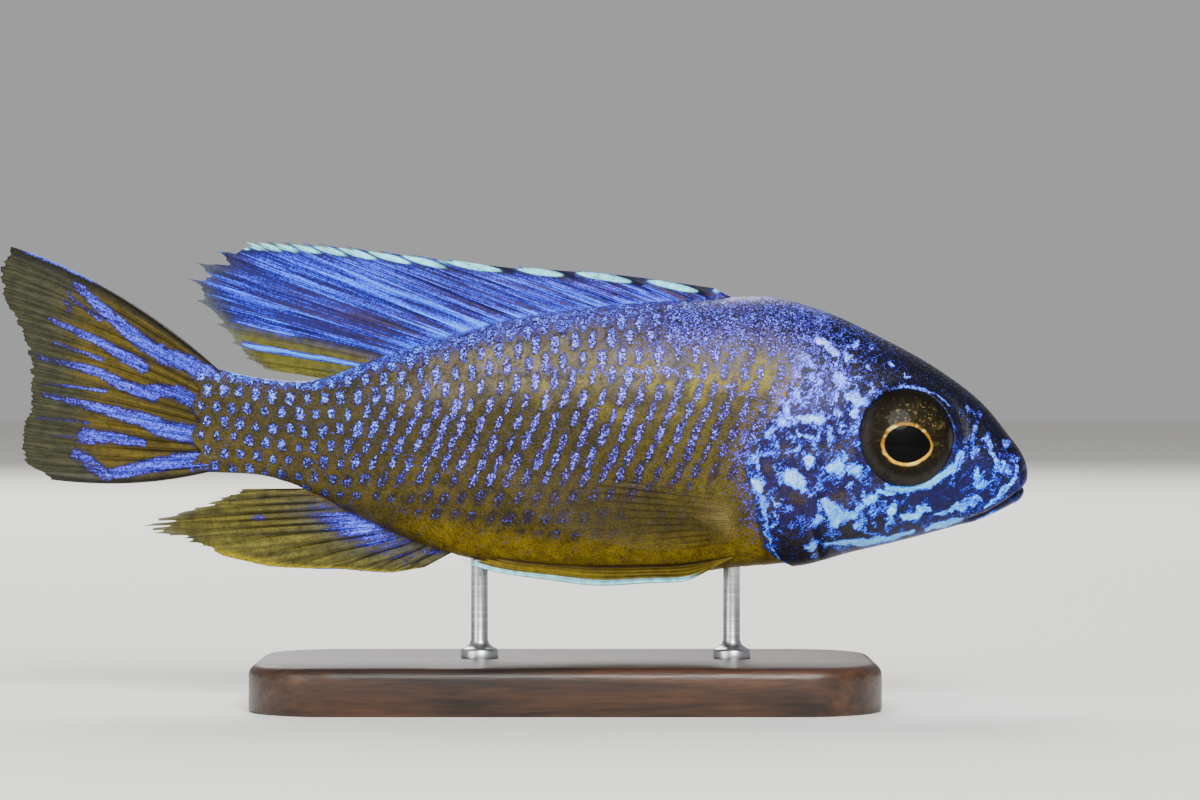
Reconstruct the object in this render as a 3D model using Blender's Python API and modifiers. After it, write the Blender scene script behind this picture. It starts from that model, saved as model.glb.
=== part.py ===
"""A life-size peacock cichlid swimming above a display stand.

Metres, +Z up, snout towards +X, the fish's right side towards -Y. The origin is on the floor
under the middle of the model. Sizes below are in millimetres and are scaled once, when a mesh
is made.
"""

import math

import bmesh
import bpy
import numpy as np
from mathutils import Matrix, Vector

MM = 0.001
GAP = 0.3  # between nodes that touch
MERGE = 1e-7  # points nearer than this, in metres, are one
PARTS, CUTTERS = "peacock_cichlid", "cutters"

# The body, as curves along its length: (x, value). x runs from the tail to the snout.
TAIL_END = -31.4
SNOUT_TIP = 55.0
BACK = [
    (-31.4, 35.8), (-27.5, 34.9), (-22.0, 34.4), (-14.8, 36.6), (-6.3, 39.3),
    (2.2, 41.4), (10.7, 42.5), (19.2, 43.1), (26.6, 43.4), (33.0, 42.0),
    (39.4, 39.1), (45.8, 35.5), (50.5, 31.8), (53.4, 28.2),
]
BELLY = [
    (-31.4, 24.7), (-26.0, 24.3), (-21.7, 22.9), (-15.9, 19.9), (-9.5, 17.2),
    (-1.0, 14.9), (7.5, 14.0), (16.0, 13.9), (24.5, 14.7), (31.9, 15.4),
    (38.3, 16.7), (44.7, 18.3), (50.5, 20.1), (53.4, 21.6),
]
HALF_WIDTH = [
    (-31.4, 0.8), (-27.0, 1.5), (-20.0, 2.6), (-10.0, 4.3), (0.0, 5.7), (10.0, 6.8),
    (20.0, 7.4), (27.0, 7.5), (33.0, 7.2), (39.0, 6.4), (45.0, 5.3), (50.0, 4.1), (53.4, 3.2),
]
WIDEST = [(-31.4, 0.50), (0.0, 0.56), (25.0, 0.50), (40.0, 0.44), (53.4, 0.42)]
FULLNESS_ABOVE = [(-31.4, 2.0), (10.0, 1.9), (35.0, 2.05), (53.4, 2.2)]
FULLNESS_BELOW = [(-31.4, 2.0), (10.0, 2.25), (30.0, 2.1), (45.0, 1.9), (53.4, 2.1)]
SNOUT_START = 53.4  # the snout closes to its tip from here
SNOUT_HEIGHT = 25.0
SNOUT_FALL = 0.62  # the upper profile falls to the tip as this power of the way left
TAIL_BEND = 2.2  # how far the tail's root swings to the fish's left
BEND_START = 12.0

# The free edge of the gill cover, as (z, x) from the throat to the nape.
GILL_EDGE = [
    (15.2, 29.8), (16.5, 27.5), (19.0, 26.5), (22.9, 25.6), (25.5, 24.9),
    (28.0, 25.7), (31.0, 28.3), (34.5, 30.6), (38.8, 31.5), (43.5, 32.2),
]
GILL_STATION = 27.5
GILL_REACH = 16.0  # rings this near the gill edge lean along it
GILL_LIFT = [(14.0, 0.3), (16.0, 0.5), (29.0, 0.5), (33.5, 0.0), (44.0, 0.0)]
GILL_PLATE = 9.0  # the lift fades this far ahead of the edge
TAIL_CUT = -22.5  # where the tail's root is parted from the trunk

# Eyes
EYE_X, EYE_Z = 41.8, 28.6
EYE_RADIUS = 5.2
EYE_DEPTH = 2.5
EYE_SUNK = 0.75
EYE_LOOK_AHEAD, EYE_LOOK_UP = 11.0, 7.0  # degrees
RIM_THICK = 0.42
RIM_OUT = 0.7  # how far outside the eye the rim's middle runs, in rim radii
RIM_HEIGHT = 0.85  # share of the way from the eye's middle to the skin
RIM_STEPS, RIM_SIDES = 36, 8

# Mouth
GAPE_FRONT = (54.6, 23.9)
GAPE_CORNER = (49.6, 20.9)
LIP_RADIUS = 0.8
LIP_AT_CORNER = 0.45  # share of the radius left at the corners of the mouth
LIP_RISE = 0.85  # how far a lip's middle lies from the gape, in lip radii
LIP_INSET = 0.45
MOUTH_SLIT = 0.32
MOUTH_REACH = 3.0  # how far the slit's cutter runs on beyond the snout
NOSTRIL = (48.9, 27.9)
NOSTRIL_RADIUS = 0.45

# Fins. The membrane and the fin's edge are given as shares of the rays' thickness.
RAY_THICK = 0.85
MEMBRANE_SHARE = 0.6
EDGE_SHARE = 0.42
RAY_RIDGE = 0.16  # half the width of a ray's ridge, in ray spacings
DORSAL_RAYS, DORSAL_FRONT, DORSAL_REAR = 24, 24.0, -19.4
DORSAL_SWAY, DORSAL_WAVES = 0.5, 1.1
DORSAL_NOTCH = [(0.0, 0.05), (0.58, 0.05), (0.64, 0.09), (1.0, 0.09)]
DORSAL_EDGE = [
    (0, 21.8, 44.3), (3, 10.9, 45.8), (7, -2.4, 46.9), (10, -12.9, 48.2), (13, -21.7, 49.2),
    (15, -29.3, 49.5), (16, -31.5, 48.4), (18, -34.7, 45.5), (20, -31.5, 40.6),
    (22, -28.4, 36.9), (23, -26.3, 35.8),
]
TAIL_RAYS = 17
TAIL_EDGE = [
    (0.0, -53.6, 48.9), (0.1, -55.0, 46.4), (0.2, -54.6, 43.6), (0.35, -52.6, 39.5),
    (0.5, -51.7, 35.8), (0.65, -51.7, 32.3), (0.8, -52.6, 29.0), (0.9, -52.6, 26.5),
    (1.0, -49.3, 23.9),
]
TAIL_TOP_BOW, TAIL_BOTTOM_BOW = 1.6, -0.9
TAIL_CUP = 0.8  # how far the upper and lower lobes stand out to the right
TAIL_ROOT_MARGIN = 0.35
TAIL_ROOT_THICK = 1.5  # in ray thicknesses
TAIL_NOTCH = [(0.0, 0.03), (1.0, 0.03)]
ANAL_RAYS, ANAL_FRONT, ANAL_REAR = 13, -5.9, -21.4
ANAL_EDGE = [
    (0.0, -9.1, 14.6), (0.1, -13.2, 14.0), (0.2, -17.5, 14.3), (0.35, -26.7, 14.8),
    (0.5, -35.0, 17.2), (0.62, -39.7, 18.5), (0.72, -39.0, 19.4), (0.85, -33.8, 21.1),
    (1.0, -29.3, 22.9),
]
ANAL_SWAY = 0.6
ANAL_NOTCH = [(0.0, 0.03), (1.0, 0.11)]
PECTORAL_RAYS = 11
PECTORAL_ROOT = [(0.0, 23.9, 22.2), (1.0, 24.2, 17.6)]
PECTORAL_EDGE = [
    (0.0, -1.9, 26.1), (0.2, -1.2, 23.9), (0.4, 1.0, 21.6), (0.6, 4.6, 19.3),
    (0.8, 9.6, 17.5), (1.0, 15.5, 16.6),
]
PECTORAL_SPREAD = 4.2  # how much further out the tips stand than the root
PECTORAL_CUP = 0.9
PECTORAL_NOTCH = [(0.0, 0.04), (1.0, 0.04)]
PELVIC_RAYS = 6
PELVIC_ROOT = [(0.0, 20.8, 3.5), (1.0, 17.6, 1.9)]  # x and distance from the middle
PELVIC_EDGE = [
    (0.0, -5.2, 2.7, 15.0), (0.2, -1.5, 2.4, 14.2), (0.45, 3.4, 2.1, 13.2), (0.7, 7.5, 1.9, 12.9),
    (1.0, 11.5, 1.8, 12.9),
]
PELVIC_SAG = 0.3
PELVIC_NOTCH = [(0.0, 0.05), (1.0, 0.05)]

# Stand
BASE_LENGTH, BASE_WIDTH, BASE_HEIGHT = 66.0, 34.0, 5.0
BASE_X = 6.0
BASE_CORNER, BASE_EASE = 9.0, 1.2
CORNER_SEGMENTS, EASE_SEGMENTS = 8, 3
ROD_RADIUS = 0.9
ROD_SIDES = 20
COLLAR_RADIUS = 2.0
COLLAR_HEIGHT, COLLAR_TOP = 1.2, 2.0  # above the base: end of the straight part, and of the slope
RODS = {"stand_rod_front": 23.6, "stand_rod_rear": -3.2}


def clear_scene():
    """Removes every object and makes the two collections."""
    for obj in list(bpy.data.objects):
        bpy.data.objects.remove(obj, do_unlink=True)
    for name in (PARTS, CUTTERS):
        bpy.context.scene.collection.children.link(bpy.data.collections.new(name))


def material(name, colour, roughness, metallic=0.0):
    """A plain Principled material."""
    made = bpy.data.materials.new(name)
    made.use_nodes = True
    shader = made.node_tree.nodes["Principled BSDF"]
    shader.inputs["Base Color"].default_value = (*colour, 1.0)
    shader.inputs["Roughness"].default_value = roughness
    shader.inputs["Metallic"].default_value = metallic
    return made


def through(points, at):
    """Smooth curve through (position, value) points, a cubic between neighbours with no overshoot."""
    place, value = np.array(points, float).T
    step = np.diff(place)
    slope = np.diff(value) / step
    tangent = np.concatenate([slope[:1], (slope[:-1] + slope[1:]) / 2, slope[-1:]])
    turning = slope[:-1] * slope[1:] <= 0
    tangent[1:-1][turning] = 0
    at = np.clip(at, place[0], place[-1])
    i = np.clip(np.searchsorted(place, at) - 1, 0, len(step) - 1)
    t = (at - place[i]) / step[i]
    rise = t * t * (3 - 2 * t)
    lead = t * (1 - t) ** 2 * step[i] * tangent[i]
    trail = t * t * (1 - t) * step[i] * tangent[i + 1]
    return value[i] + rise * (value[i + 1] - value[i]) + lead - trail


def bend(x):
    """The middle of the body swings to the left behind BEND_START, as the square of the distance."""
    share = np.clip((BEND_START - x) / (BEND_START - TAIL_END), 0, None)
    return TAIL_BEND * share**2


def section(x):
    """Top, bottom, widest level, half width and fullness above and below of the body at x.

    Ahead of SNOUT_START the measures shrink towards the tip as an ellipse does, but the upper
    profile falls more evenly, by SNOUT_FALL.
    """
    within = np.minimum(x, SNOUT_START)
    closing = np.clip((x - SNOUT_START) / (SNOUT_TIP - SNOUT_START), 0, 1)
    share = np.sqrt(1 - closing**2)
    top = SNOUT_HEIGHT + (through(BACK, within) - SNOUT_HEIGHT) * (1 - closing) ** SNOUT_FALL
    bottom = SNOUT_HEIGHT + (through(BELLY, within) - SNOUT_HEIGHT) * share
    level = bottom + through(WIDEST, within) * (top - bottom)
    width = through(HALF_WIDTH, within) * share
    return top, bottom, level, width, through(FULLNESS_ABOVE, within), through(FULLNESS_BELOW, within)


def flank(x, turn):
    """(half width, z) of the body at x: turn is 0 on the back, 0.5 at the widest, 1 on the belly."""
    top, bottom, level, width, above, below = section(x)
    angle = np.pi * np.asarray(turn, float)
    up = np.cos(angle)
    power = np.where(up > 0, 2 / above, 2 / below)
    reach = np.where(up > 0, top - level, level - bottom)
    return width * np.abs(np.sin(angle)) ** power, level + np.sign(up) * reach * np.abs(up) ** power


def half_width_at(x, z):
    """Distance from the middle to the skin at x and height z."""
    top, bottom, level, width, above, below = section(x)
    up = z > level
    reach = np.where(up, top - level, level - bottom)
    power = np.where(up, above, below)
    share = np.clip(np.abs(z - level) / np.maximum(reach, 1e-6), 0, 1)
    return width * (1 - share**power) ** (1 / power)


def underside_at(x, y):
    """Height of the belly at x, a distance y from the middle."""
    _, bottom, level, width, _, below = section(x)
    share = np.clip(np.abs(y) / width, 0, 1)
    return level - (level - bottom) * (1 - share**below) ** (1 / below)


def ring(station, turns, lift):
    """Right half of one ring, as (x, half width, z), leaning along the gill edge where it is near."""
    reach = np.clip(1 - ((station - GILL_STATION) / GILL_REACH) ** 2, 0, 1) ** 2
    x = np.full_like(turns, station)
    for _ in range(6):
        wide, z = flank(x, turns)
        x = station + (through(GILL_EDGE, z) - GILL_STATION) * reach
    wide, z = flank(x, turns)
    return np.stack([x, wide + lift * through(GILL_LIFT, z) * np.sin(np.pi * turns), z], 1)


def new_object(name, mesh, look=None):
    """An object of the model, or, if it has no material, a cutter that is never rendered."""
    obj = bpy.data.objects.new(name, mesh)
    bpy.data.collections[PARTS if look else CUTTERS].objects.link(obj)
    if look:
        mesh.materials.append(look)
    else:
        obj.hide_render = True
        obj.display_type = "WIRE"
    return obj


def mesh_of(name, points, faces):
    """A mesh from points in mm."""
    mesh = bpy.data.meshes.new(name)
    mesh.from_pydata([tuple(float(c) * MM for c in p) for p in points], [], faces)
    mesh.update()
    return mesh


def loft(name, rings, look, tip=None):
    """A closed skin over half rings mirrored to both sides, with an optional point at its front."""
    points, loops = [], []
    for half in rings:
        x, wide, z = half.T
        middle = bend(x)
        right = np.stack([x, middle - wide, z], 1)
        left = np.stack([x, middle + wide, z], 1)[-2:0:-1]
        loops.append(range(len(points), len(points) + len(right) + len(left)))
        points += [*right, *left]
    faces = []
    count = len(loops[0])
    for front, rear in zip(loops, loops[1:]):
        for i in range(count):
            j = (i + 1) % count
            faces.append((front[i], rear[i], rear[j], front[j]))
    if tip is None:
        faces += cap(loops[0], False)
    else:
        points.append(tip)
        faces += [(len(points) - 1, loops[0][i], loops[0][(i + 1) % count]) for i in range(count)]
    faces += cap(loops[-1], True)
    obj = new_object(name, mesh_of(name, points, faces), look)
    recalculate(obj)
    return obj


def cap(loop, rear):
    """Faces across a ring, each joining the two sides at one height."""
    count = len(loop)
    faces = []
    for i in range(count // 2):
        corners = [loop[i], loop[i + 1], loop[count - i - 1], loop[-i]]
        corners = list(dict.fromkeys(corners))
        faces.append(corners[::-1] if rear else corners)
    return faces


def recalculate(obj):
    """Turns all faces outwards."""
    work = bmesh.new()
    work.from_mesh(obj.data)
    bmesh.ops.recalc_face_normals(work, faces=work.faces)
    work.to_mesh(obj.data)
    work.free()


def smooth_shaded(obj, degrees=40):
    """Smooth shading, with edges sharper than the angle left crisp."""
    obj.data.shade_smooth()
    obj.data.set_sharp_from_angle(angle=math.radians(degrees))


def remove(obj):
    """Takes an object out of the scene."""
    bpy.data.objects.remove(obj, do_unlink=True)


def apply_modifiers(obj):
    """Replaces an object's mesh by what its modifiers make of it."""
    graph = bpy.context.evaluated_depsgraph_get()
    mesh = bpy.data.meshes.new_from_object(obj.evaluated_get(graph))
    obj.modifiers.clear()
    obj.data = mesh


def boolean(node, pieces, operation):
    """Joins the pieces to the node, or cuts them from it, and removes them."""
    group = bpy.data.collections.new(node.name + "_pieces")
    for piece in pieces:
        group.objects.link(piece)
    step = node.modifiers.new(operation.lower(), "BOOLEAN")
    step.operation = operation
    step.operand_type = "COLLECTION"
    step.collection = group
    step.solver = "EXACT"
    apply_modifiers(node)
    for piece in pieces:
        remove(piece)
    bpy.data.collections.remove(group)


def keep_largest(obj):
    """Leaves only the closed surface with the most faces."""
    work = bmesh.new()
    work.from_mesh(obj.data)
    bmesh.ops.remove_doubles(work, verts=work.verts, dist=MERGE)
    left, shells = set(work.faces), []
    while left:
        stack, shell = [left.pop()], []
        while stack:
            face = stack.pop()
            shell.append(face)
            near = {other for edge in face.edges for other in edge.link_faces} & left
            left -= near
            stack += near
        shells.append(shell)
    shells.sort(key=len)
    spare = [face for shell in shells[:-1] for face in shell]
    bmesh.ops.delete(work, geom=spare, context="FACES")
    work.to_mesh(obj.data)
    work.free()


def tube(name, path, radii):
    """A closed mesh tube along a path of points, with a radius at each."""
    data = bpy.data.curves.new(name, "CURVE")
    data.dimensions = "3D"
    data.bevel_depth = MM
    data.bevel_resolution = 2
    data.use_fill_caps = True
    spline = data.splines.new("POLY")
    spline.points.add(len(path) - 1)
    for point, place, radius in zip(spline.points, path, radii):
        point.co = (*(c * MM for c in place), 1)
        point.radius = radius
    guide = new_object(name + "_guide", data)
    graph = bpy.context.evaluated_depsgraph_get()
    mesh = bpy.data.meshes.new_from_object(guide.evaluated_get(graph))
    remove(guide)
    work = bmesh.new()
    work.from_mesh(mesh)
    bmesh.ops.remove_doubles(work, verts=work.verts, dist=MERGE)
    bmesh.ops.recalc_face_normals(work, faces=work.faces)
    work.to_mesh(mesh)
    work.free()
    return new_object(name, mesh)


def eye_frame(side):
    """Matrix that puts a shape made round its own z axis at an eye, z looking out of the head."""
    ahead = math.radians(EYE_LOOK_AHEAD)
    up = math.radians(EYE_LOOK_UP)
    look = Vector((math.sin(ahead), side * math.cos(ahead) * math.cos(up), math.sin(up))).normalized()
    out = float(half_width_at(np.array(EYE_X), np.array(EYE_Z)))
    centre = Vector((EYE_X, side * out, EYE_Z)) - look * EYE_SUNK
    turn = look.to_track_quat("Z", "Y").to_matrix().to_4x4()
    return Matrix.Translation(centre * MM) @ turn


def ellipsoid(name, side, radius, depth, look=None):
    """A flattened ball at an eye."""
    mesh = bpy.data.meshes.new(name)
    work = bmesh.new()
    bmesh.ops.create_uvsphere(work, u_segments=24, v_segments=12, radius=MM)
    work.to_mesh(mesh)
    work.free()
    mesh.transform(eye_frame(side) @ Matrix.Diagonal((radius, radius, depth, 1)))
    return new_object(name, mesh, look)


def eye_rim(side):
    """The soft fold of skin round an eye: a ring of circles that stand square to it."""
    frame = eye_frame(side)
    turn = frame.to_3x3()
    axis = turn @ Vector((0, 0, 1))
    radius = EYE_RADIUS + RIM_THICK * RIM_OUT
    points, faces = [], []
    for i in range(RIM_STEPS):
        angle = 2 * math.pi * i / RIM_STEPS
        way = Vector((math.cos(angle), math.sin(angle), 0))
        place = frame @ ((way * radius + Vector((0, 0, EYE_SUNK * RIM_HEIGHT))) * MM) / MM
        outward = turn @ way
        for k in range(RIM_SIDES):
            around = 2 * math.pi * k / RIM_SIDES
            points.append(place + RIM_THICK * (outward * math.cos(around) + axis * math.sin(around)))
            a, b = i * RIM_SIDES, (i + 1) % RIM_STEPS * RIM_SIDES
            m = (k + 1) % RIM_SIDES
            faces.append((a + k, b + k, b + m, a + m))
    rim = new_object("rim", mesh_of("rim", points, faces))
    recalculate(rim)
    return rim


def gape_height(x):
    """Height of the line where the lips meet, at x."""
    share = (x - GAPE_CORNER[0]) / (GAPE_FRONT[0] - GAPE_CORNER[0])
    return GAPE_CORNER[1] + share * (GAPE_FRONT[1] - GAPE_CORNER[1])


def skin_reach(centre, angle, z):
    """Distance from (centre, 0, z) to the skin along a level line at an angle from +x."""
    near, far = 0.0, 12.0
    for _ in range(24):
        middle = (near + far) / 2
        x, y = centre + middle * math.cos(angle), middle * abs(math.sin(angle))
        inside = float(half_width_at(np.array(x), np.array(z))) > y
        near, far = (middle, far) if inside else (near, middle)
    return near


def lip(name, above):
    """A soft roll from one corner of the mouth round the snout to the other."""
    path, radii = [], []
    for angle in np.linspace(-np.pi / 2, np.pi / 2, 17):
        front = math.cos(angle)
        radius = LIP_RADIUS * (LIP_AT_CORNER + (1 - LIP_AT_CORNER) * front)
        x = GAPE_CORNER[0]
        for _ in range(4):
            z = gape_height(x) + above * radius * LIP_RISE
            reach = skin_reach(GAPE_CORNER[0], angle, z) - LIP_INSET
            x = GAPE_CORNER[0] + reach * front
        path.append((x, reach * math.sin(angle), z))
        radii.append(radius)
    return tube(name, path, radii)


def box_cutter(centre, size, tilt):
    """A block turned by tilt about the y axis, used to cut the mouth."""
    mesh = bpy.data.meshes.new("slit")
    work = bmesh.new()
    bmesh.ops.create_cube(work, size=MM)
    work.to_mesh(mesh)
    work.free()
    place = Matrix.Translation(Vector(centre) * MM) @ Matrix.Rotation(tilt, 4, "Y")
    mesh.transform(place @ Matrix.Diagonal((*size, 1)))
    return new_object("slit", mesh)


def nostril_cutter(side):
    """A small ball on the skin, used to sink a nostril."""
    out = float(half_width_at(np.array(NOSTRIL[0]), np.array(NOSTRIL[1])))
    mesh = bpy.data.meshes.new("nostril")
    work = bmesh.new()
    bmesh.ops.create_icosphere(work, subdivisions=1, radius=NOSTRIL_RADIUS * MM)
    work.to_mesh(mesh)
    work.free()
    mesh.transform(Matrix.Translation(Vector((NOSTRIL[0], side * out, NOSTRIL[1])) * MM))
    return new_object("nostril", mesh)


def head(look):
    """The head, with its gill covers, lips, nostrils and eye sockets."""
    turns = np.linspace(0, 1, 21)
    closing = SNOUT_TIP - SNOUT_START
    front = [SNOUT_TIP - closing * (1 - math.cos(a)) for a in np.linspace(0.28, math.pi / 2, 5)]
    rear = np.linspace(SNOUT_START, GILL_STATION + GAP / 2, 23)[1:]
    rings = []
    for s in [*front, *rear]:
        lift = max(0.0, 1 - (s - GILL_STATION) / GILL_PLATE)
        rings.append(ring(s, turns, lift * lift * (3 - 2 * lift)))
    node = loft("head", rings, look, (SNOUT_TIP, 0, SNOUT_HEIGHT))
    additions = [lip("upper_lip", 1), lip("lower_lip", -1), eye_rim(1), eye_rim(-1)]
    boolean(node, additions, "UNION")
    run, rise = GAPE_FRONT[0] - GAPE_CORNER[0], GAPE_FRONT[1] - GAPE_CORNER[1]
    length = math.hypot(run, rise)
    tilt = -math.atan2(rise, run)
    ahead = (length + MOUTH_REACH) / 2 / length
    middle = (GAPE_CORNER[0] + run * ahead, 0, GAPE_CORNER[1] + rise * ahead)
    size = (length + MOUTH_REACH, 4 * HALF_WIDTH[-1][1], MOUTH_SLIT)
    cutters = [box_cutter(middle, size, tilt)]
    for side in (1, -1):
        cutters.append(ellipsoid("socket", side, EYE_RADIUS + GAP, EYE_DEPTH + GAP))
        cutters.append(nostril_cutter(side))
    boolean(node, cutters, "DIFFERENCE")
    keep_largest(node)
    smooth_shaded(node)


def torso(look):
    """The trunk, from behind the gill covers to the tail's root."""
    turns = np.linspace(0, 1, 19)
    stations = np.linspace(GILL_STATION - GAP / 2, TAIL_CUT + GAP / 2, 26)
    node = loft("torso", [ring(s, turns, 0) for s in stations], look)
    smooth_shaded(node)


def tail_root(look):
    """The narrow stalk that carries the tail fin."""
    turns = np.linspace(0, 1, 15)
    stations = np.linspace(TAIL_CUT - GAP / 2, TAIL_END, 8)
    node = loft("tail_root", [ring(s, turns, 0) for s in stations], look)
    smooth_shaded(node)


def ray_columns(rays):
    """Places along a fin, in rays: each ray's middle, its two sides and the membrane between."""
    columns = [(0, 1.0)]
    for i in range(rays - 1):
        for part in (RAY_RIDGE, 0.55, 1 - RAY_RIDGE):
            columns.append((i + part, MEMBRANE_SHARE))
        columns.append((i + 1, 1.0))
    return columns


def ray_fin(name, rays, place, look, rows, notch, root=1.0):
    """A fin as one sheet with a thickness, in which each ray is a ridge on both faces.

    place(u, v) gives the sheet's point: u is 0 to 1 across the rays and v is 0 at the root to 1
    at the tips. notch is a curve over u: how far the edge is drawn in between the rays, as a share
    of their length. root is the thickness at the root, in ray thicknesses.
    """
    points, weights, faces = [], [], []
    columns = ray_columns(rays)
    for at, share in columns:
        u = at / (rays - 1)
        between = math.sin(math.pi * (at - math.floor(at))) ** 0.7
        reach = 1 - float(through(notch, np.array(u))) * between
        for v in np.linspace(0, 1, rows + 1):
            points.append(place(u, v * reach))
            edge = EDGE_SHARE + (1 - EDGE_SHARE) * (1 - v**4)
            weights.append(min(max(share * edge, root * (1 - v) ** 6), root))
    count = rows + 1
    for c in range(len(columns) - 1):
        for r in range(rows):
            a, b = c * count + r, (c + 1) * count + r
            faces += [(a, b, b + 1), (a, b + 1, a + 1)]
    obj = new_object(name, mesh_of(name, points, faces), look)
    group = obj.vertex_groups.new(name="thickness")
    most = max(weights)
    for i, weight in enumerate(weights):
        group.add([i], weight / most, "REPLACE")
    solid = obj.modifiers.new("thickness", "SOLIDIFY")
    solid.thickness = RAY_THICK * most * MM
    solid.offset = 0
    solid.vertex_group = group.name
    solid.use_even_offset = False
    apply_modifiers(obj)
    recalculate(obj)
    smooth_shaded(obj, 25)


def edge_at(points, u):
    """Place on a fin's outer edge, each coordinate a smooth curve through the points."""
    table = np.array(points, float)
    return [float(through(table[:, [0, k]], np.array(u))) for k in range(1, table.shape[1])]


def dorsal_fin(look):
    """The long fin on the back, with a slight sway along its edge."""
    last = DORSAL_RAYS - 1

    def place(u, v):
        x0 = DORSAL_FRONT + (DORSAL_REAR - DORSAL_FRONT) * u
        z0 = float(through(BACK, np.array(x0))) + GAP
        x1, z1 = edge_at(DORSAL_EDGE, u * last)
        x, z = x0 + (x1 - x0) * v, z0 + (z1 - z0) * v
        sway = DORSAL_SWAY * math.sin(DORSAL_WAVES * 2 * math.pi * u) * v * v
        return x, float(bend(np.array(x))) + sway, z

    ray_fin("dorsal_fin", DORSAL_RAYS, place, look, 6, DORSAL_NOTCH)


def tail_fin(look):
    """The tail fin, its rays bowed and its lobes cupped to the right."""
    top = through(BACK, np.array(TAIL_END)) - TAIL_ROOT_MARGIN
    bottom = through(BELLY, np.array(TAIL_END)) + TAIL_ROOT_MARGIN

    def place(u, v):
        z0 = float(top + (bottom - top) * u)
        x0 = TAIL_END - GAP
        x1, z1 = edge_at(TAIL_EDGE, u)
        bow = TAIL_TOP_BOW + (TAIL_BOTTOM_BOW - TAIL_TOP_BOW) * u
        x, z = x0 + (x1 - x0) * v, z0 + (z1 - z0) * v + 4 * bow * v * (1 - v)
        cup = TAIL_CUP * (2 * u - 1) ** 2 * v
        return x, float(bend(np.array(x))) - cup, z

    ray_fin("tail_fin", TAIL_RAYS, place, look, 7, TAIL_NOTCH, TAIL_ROOT_THICK)


def anal_fin(look):
    """The fin behind the belly, whose middle hangs a little to the right."""

    def place(u, v):
        x0 = ANAL_FRONT + (ANAL_REAR - ANAL_FRONT) * u
        z0 = float(through(BELLY, np.array(x0))) - GAP
        x1, z1 = edge_at(ANAL_EDGE, u)
        x, z = x0 + (x1 - x0) * v, z0 + (z1 - z0) * v
        return x, float(bend(np.array(x))) - ANAL_SWAY * v * v * math.sin(math.pi * u), z

    ray_fin("anal_fin", ANAL_RAYS, place, look, 6, ANAL_NOTCH)


def pectoral_fin(side, name, look):
    """A fan that stands out from the flank behind the gill cover."""

    def place(u, v):
        x0, z0 = edge_at(PECTORAL_ROOT, u)
        out = float(half_width_at(np.array(x0), np.array(z0))) + GAP + 0.5 * RAY_THICK
        x1, z1 = edge_at(PECTORAL_EDGE, u)
        x, z = x0 + (x1 - x0) * v, z0 + (z1 - z0) * v
        y = out + (PECTORAL_SPREAD + PECTORAL_CUP * math.sin(math.pi * u)) * v
        return x, side * y + float(bend(np.array(x))) * v, z

    ray_fin(name, PECTORAL_RAYS, place, look, 5, PECTORAL_NOTCH)


def pelvic_fin(side, name, look):
    """A narrow fin folded back along the belly."""

    def place(u, v):
        x0, y0 = edge_at(PELVIC_ROOT, u)
        z0 = float(underside_at(np.array(x0), np.array(y0))) - GAP - 0.5 * RAY_THICK
        x1, y1, z1 = edge_at(PELVIC_EDGE, u)
        x, y = x0 + (x1 - x0) * v, y0 + (y1 - y0) * v
        sag = PELVIC_SAG * math.sin(math.pi * v)
        return x, side * y + float(bend(np.array(x))), z0 + (z1 - z0) * v - sag

    ray_fin(name, PELVIC_RAYS, place, look, 6, PELVIC_NOTCH)


def plinth(look):
    """A block with rounded corners and an eased upper edge."""
    mesh = bpy.data.meshes.new("stand_base")
    work = bmesh.new()
    bmesh.ops.create_cube(work, size=MM)
    size = Matrix.Diagonal((BASE_LENGTH, BASE_WIDTH, BASE_HEIGHT, 1))
    place = Matrix.Translation(Vector((BASE_X, 0, BASE_HEIGHT / 2)) * MM) @ size
    bmesh.ops.transform(work, matrix=place, verts=work.verts)
    upright = [e for e in work.edges if abs(e.verts[0].co.z - e.verts[1].co.z) > MM]
    bmesh.ops.bevel(
        work, geom=upright, offset=BASE_CORNER * MM, segments=CORNER_SEGMENTS, profile=0.5, affect="EDGES"
    )
    above = (BASE_HEIGHT - GAP) * MM
    top = [e for e in work.edges if min(v.co.z for v in e.verts) > above]
    rim = [e for e in top if len({round(f.normal.z) for f in e.link_faces}) == 2]
    bmesh.ops.bevel(
        work, geom=rim, offset=BASE_EASE * MM, segments=EASE_SEGMENTS, profile=0.5, affect="EDGES"
    )
    work.to_mesh(mesh)
    work.free()
    smooth_shaded(new_object("stand_base", mesh, look), 30)


def rod(name, x, look):
    """An upright rod with a collar at its foot, from just above the base to just below the belly."""
    middle = float(bend(np.array(x)))
    profile = [
        (ROD_RADIUS, float(through(BELLY, np.array(x))) - GAP),
        (ROD_RADIUS, BASE_HEIGHT + COLLAR_TOP),
        (COLLAR_RADIUS, BASE_HEIGHT + COLLAR_HEIGHT),
        (COLLAR_RADIUS, BASE_HEIGHT + GAP),
    ]
    points, faces = [], []
    for level, (radius, z) in enumerate(profile):
        ring_start = level * ROD_SIDES
        for i in range(ROD_SIDES):
            angle = 2 * math.pi * i / ROD_SIDES
            points.append((x + radius * math.cos(angle), middle + radius * math.sin(angle), z))
            if level:
                a, b = ring_start + i, ring_start + (i + 1) % ROD_SIDES
                faces.append((a, b, b - ROD_SIDES, a - ROD_SIDES))
    faces += [tuple(range(ROD_SIDES)), tuple(range(len(points) - ROD_SIDES, len(points)))[::-1]]
    obj = new_object(name, mesh_of(name, points, faces), look)
    recalculate(obj)
    smooth_shaded(obj, 30)


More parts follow.
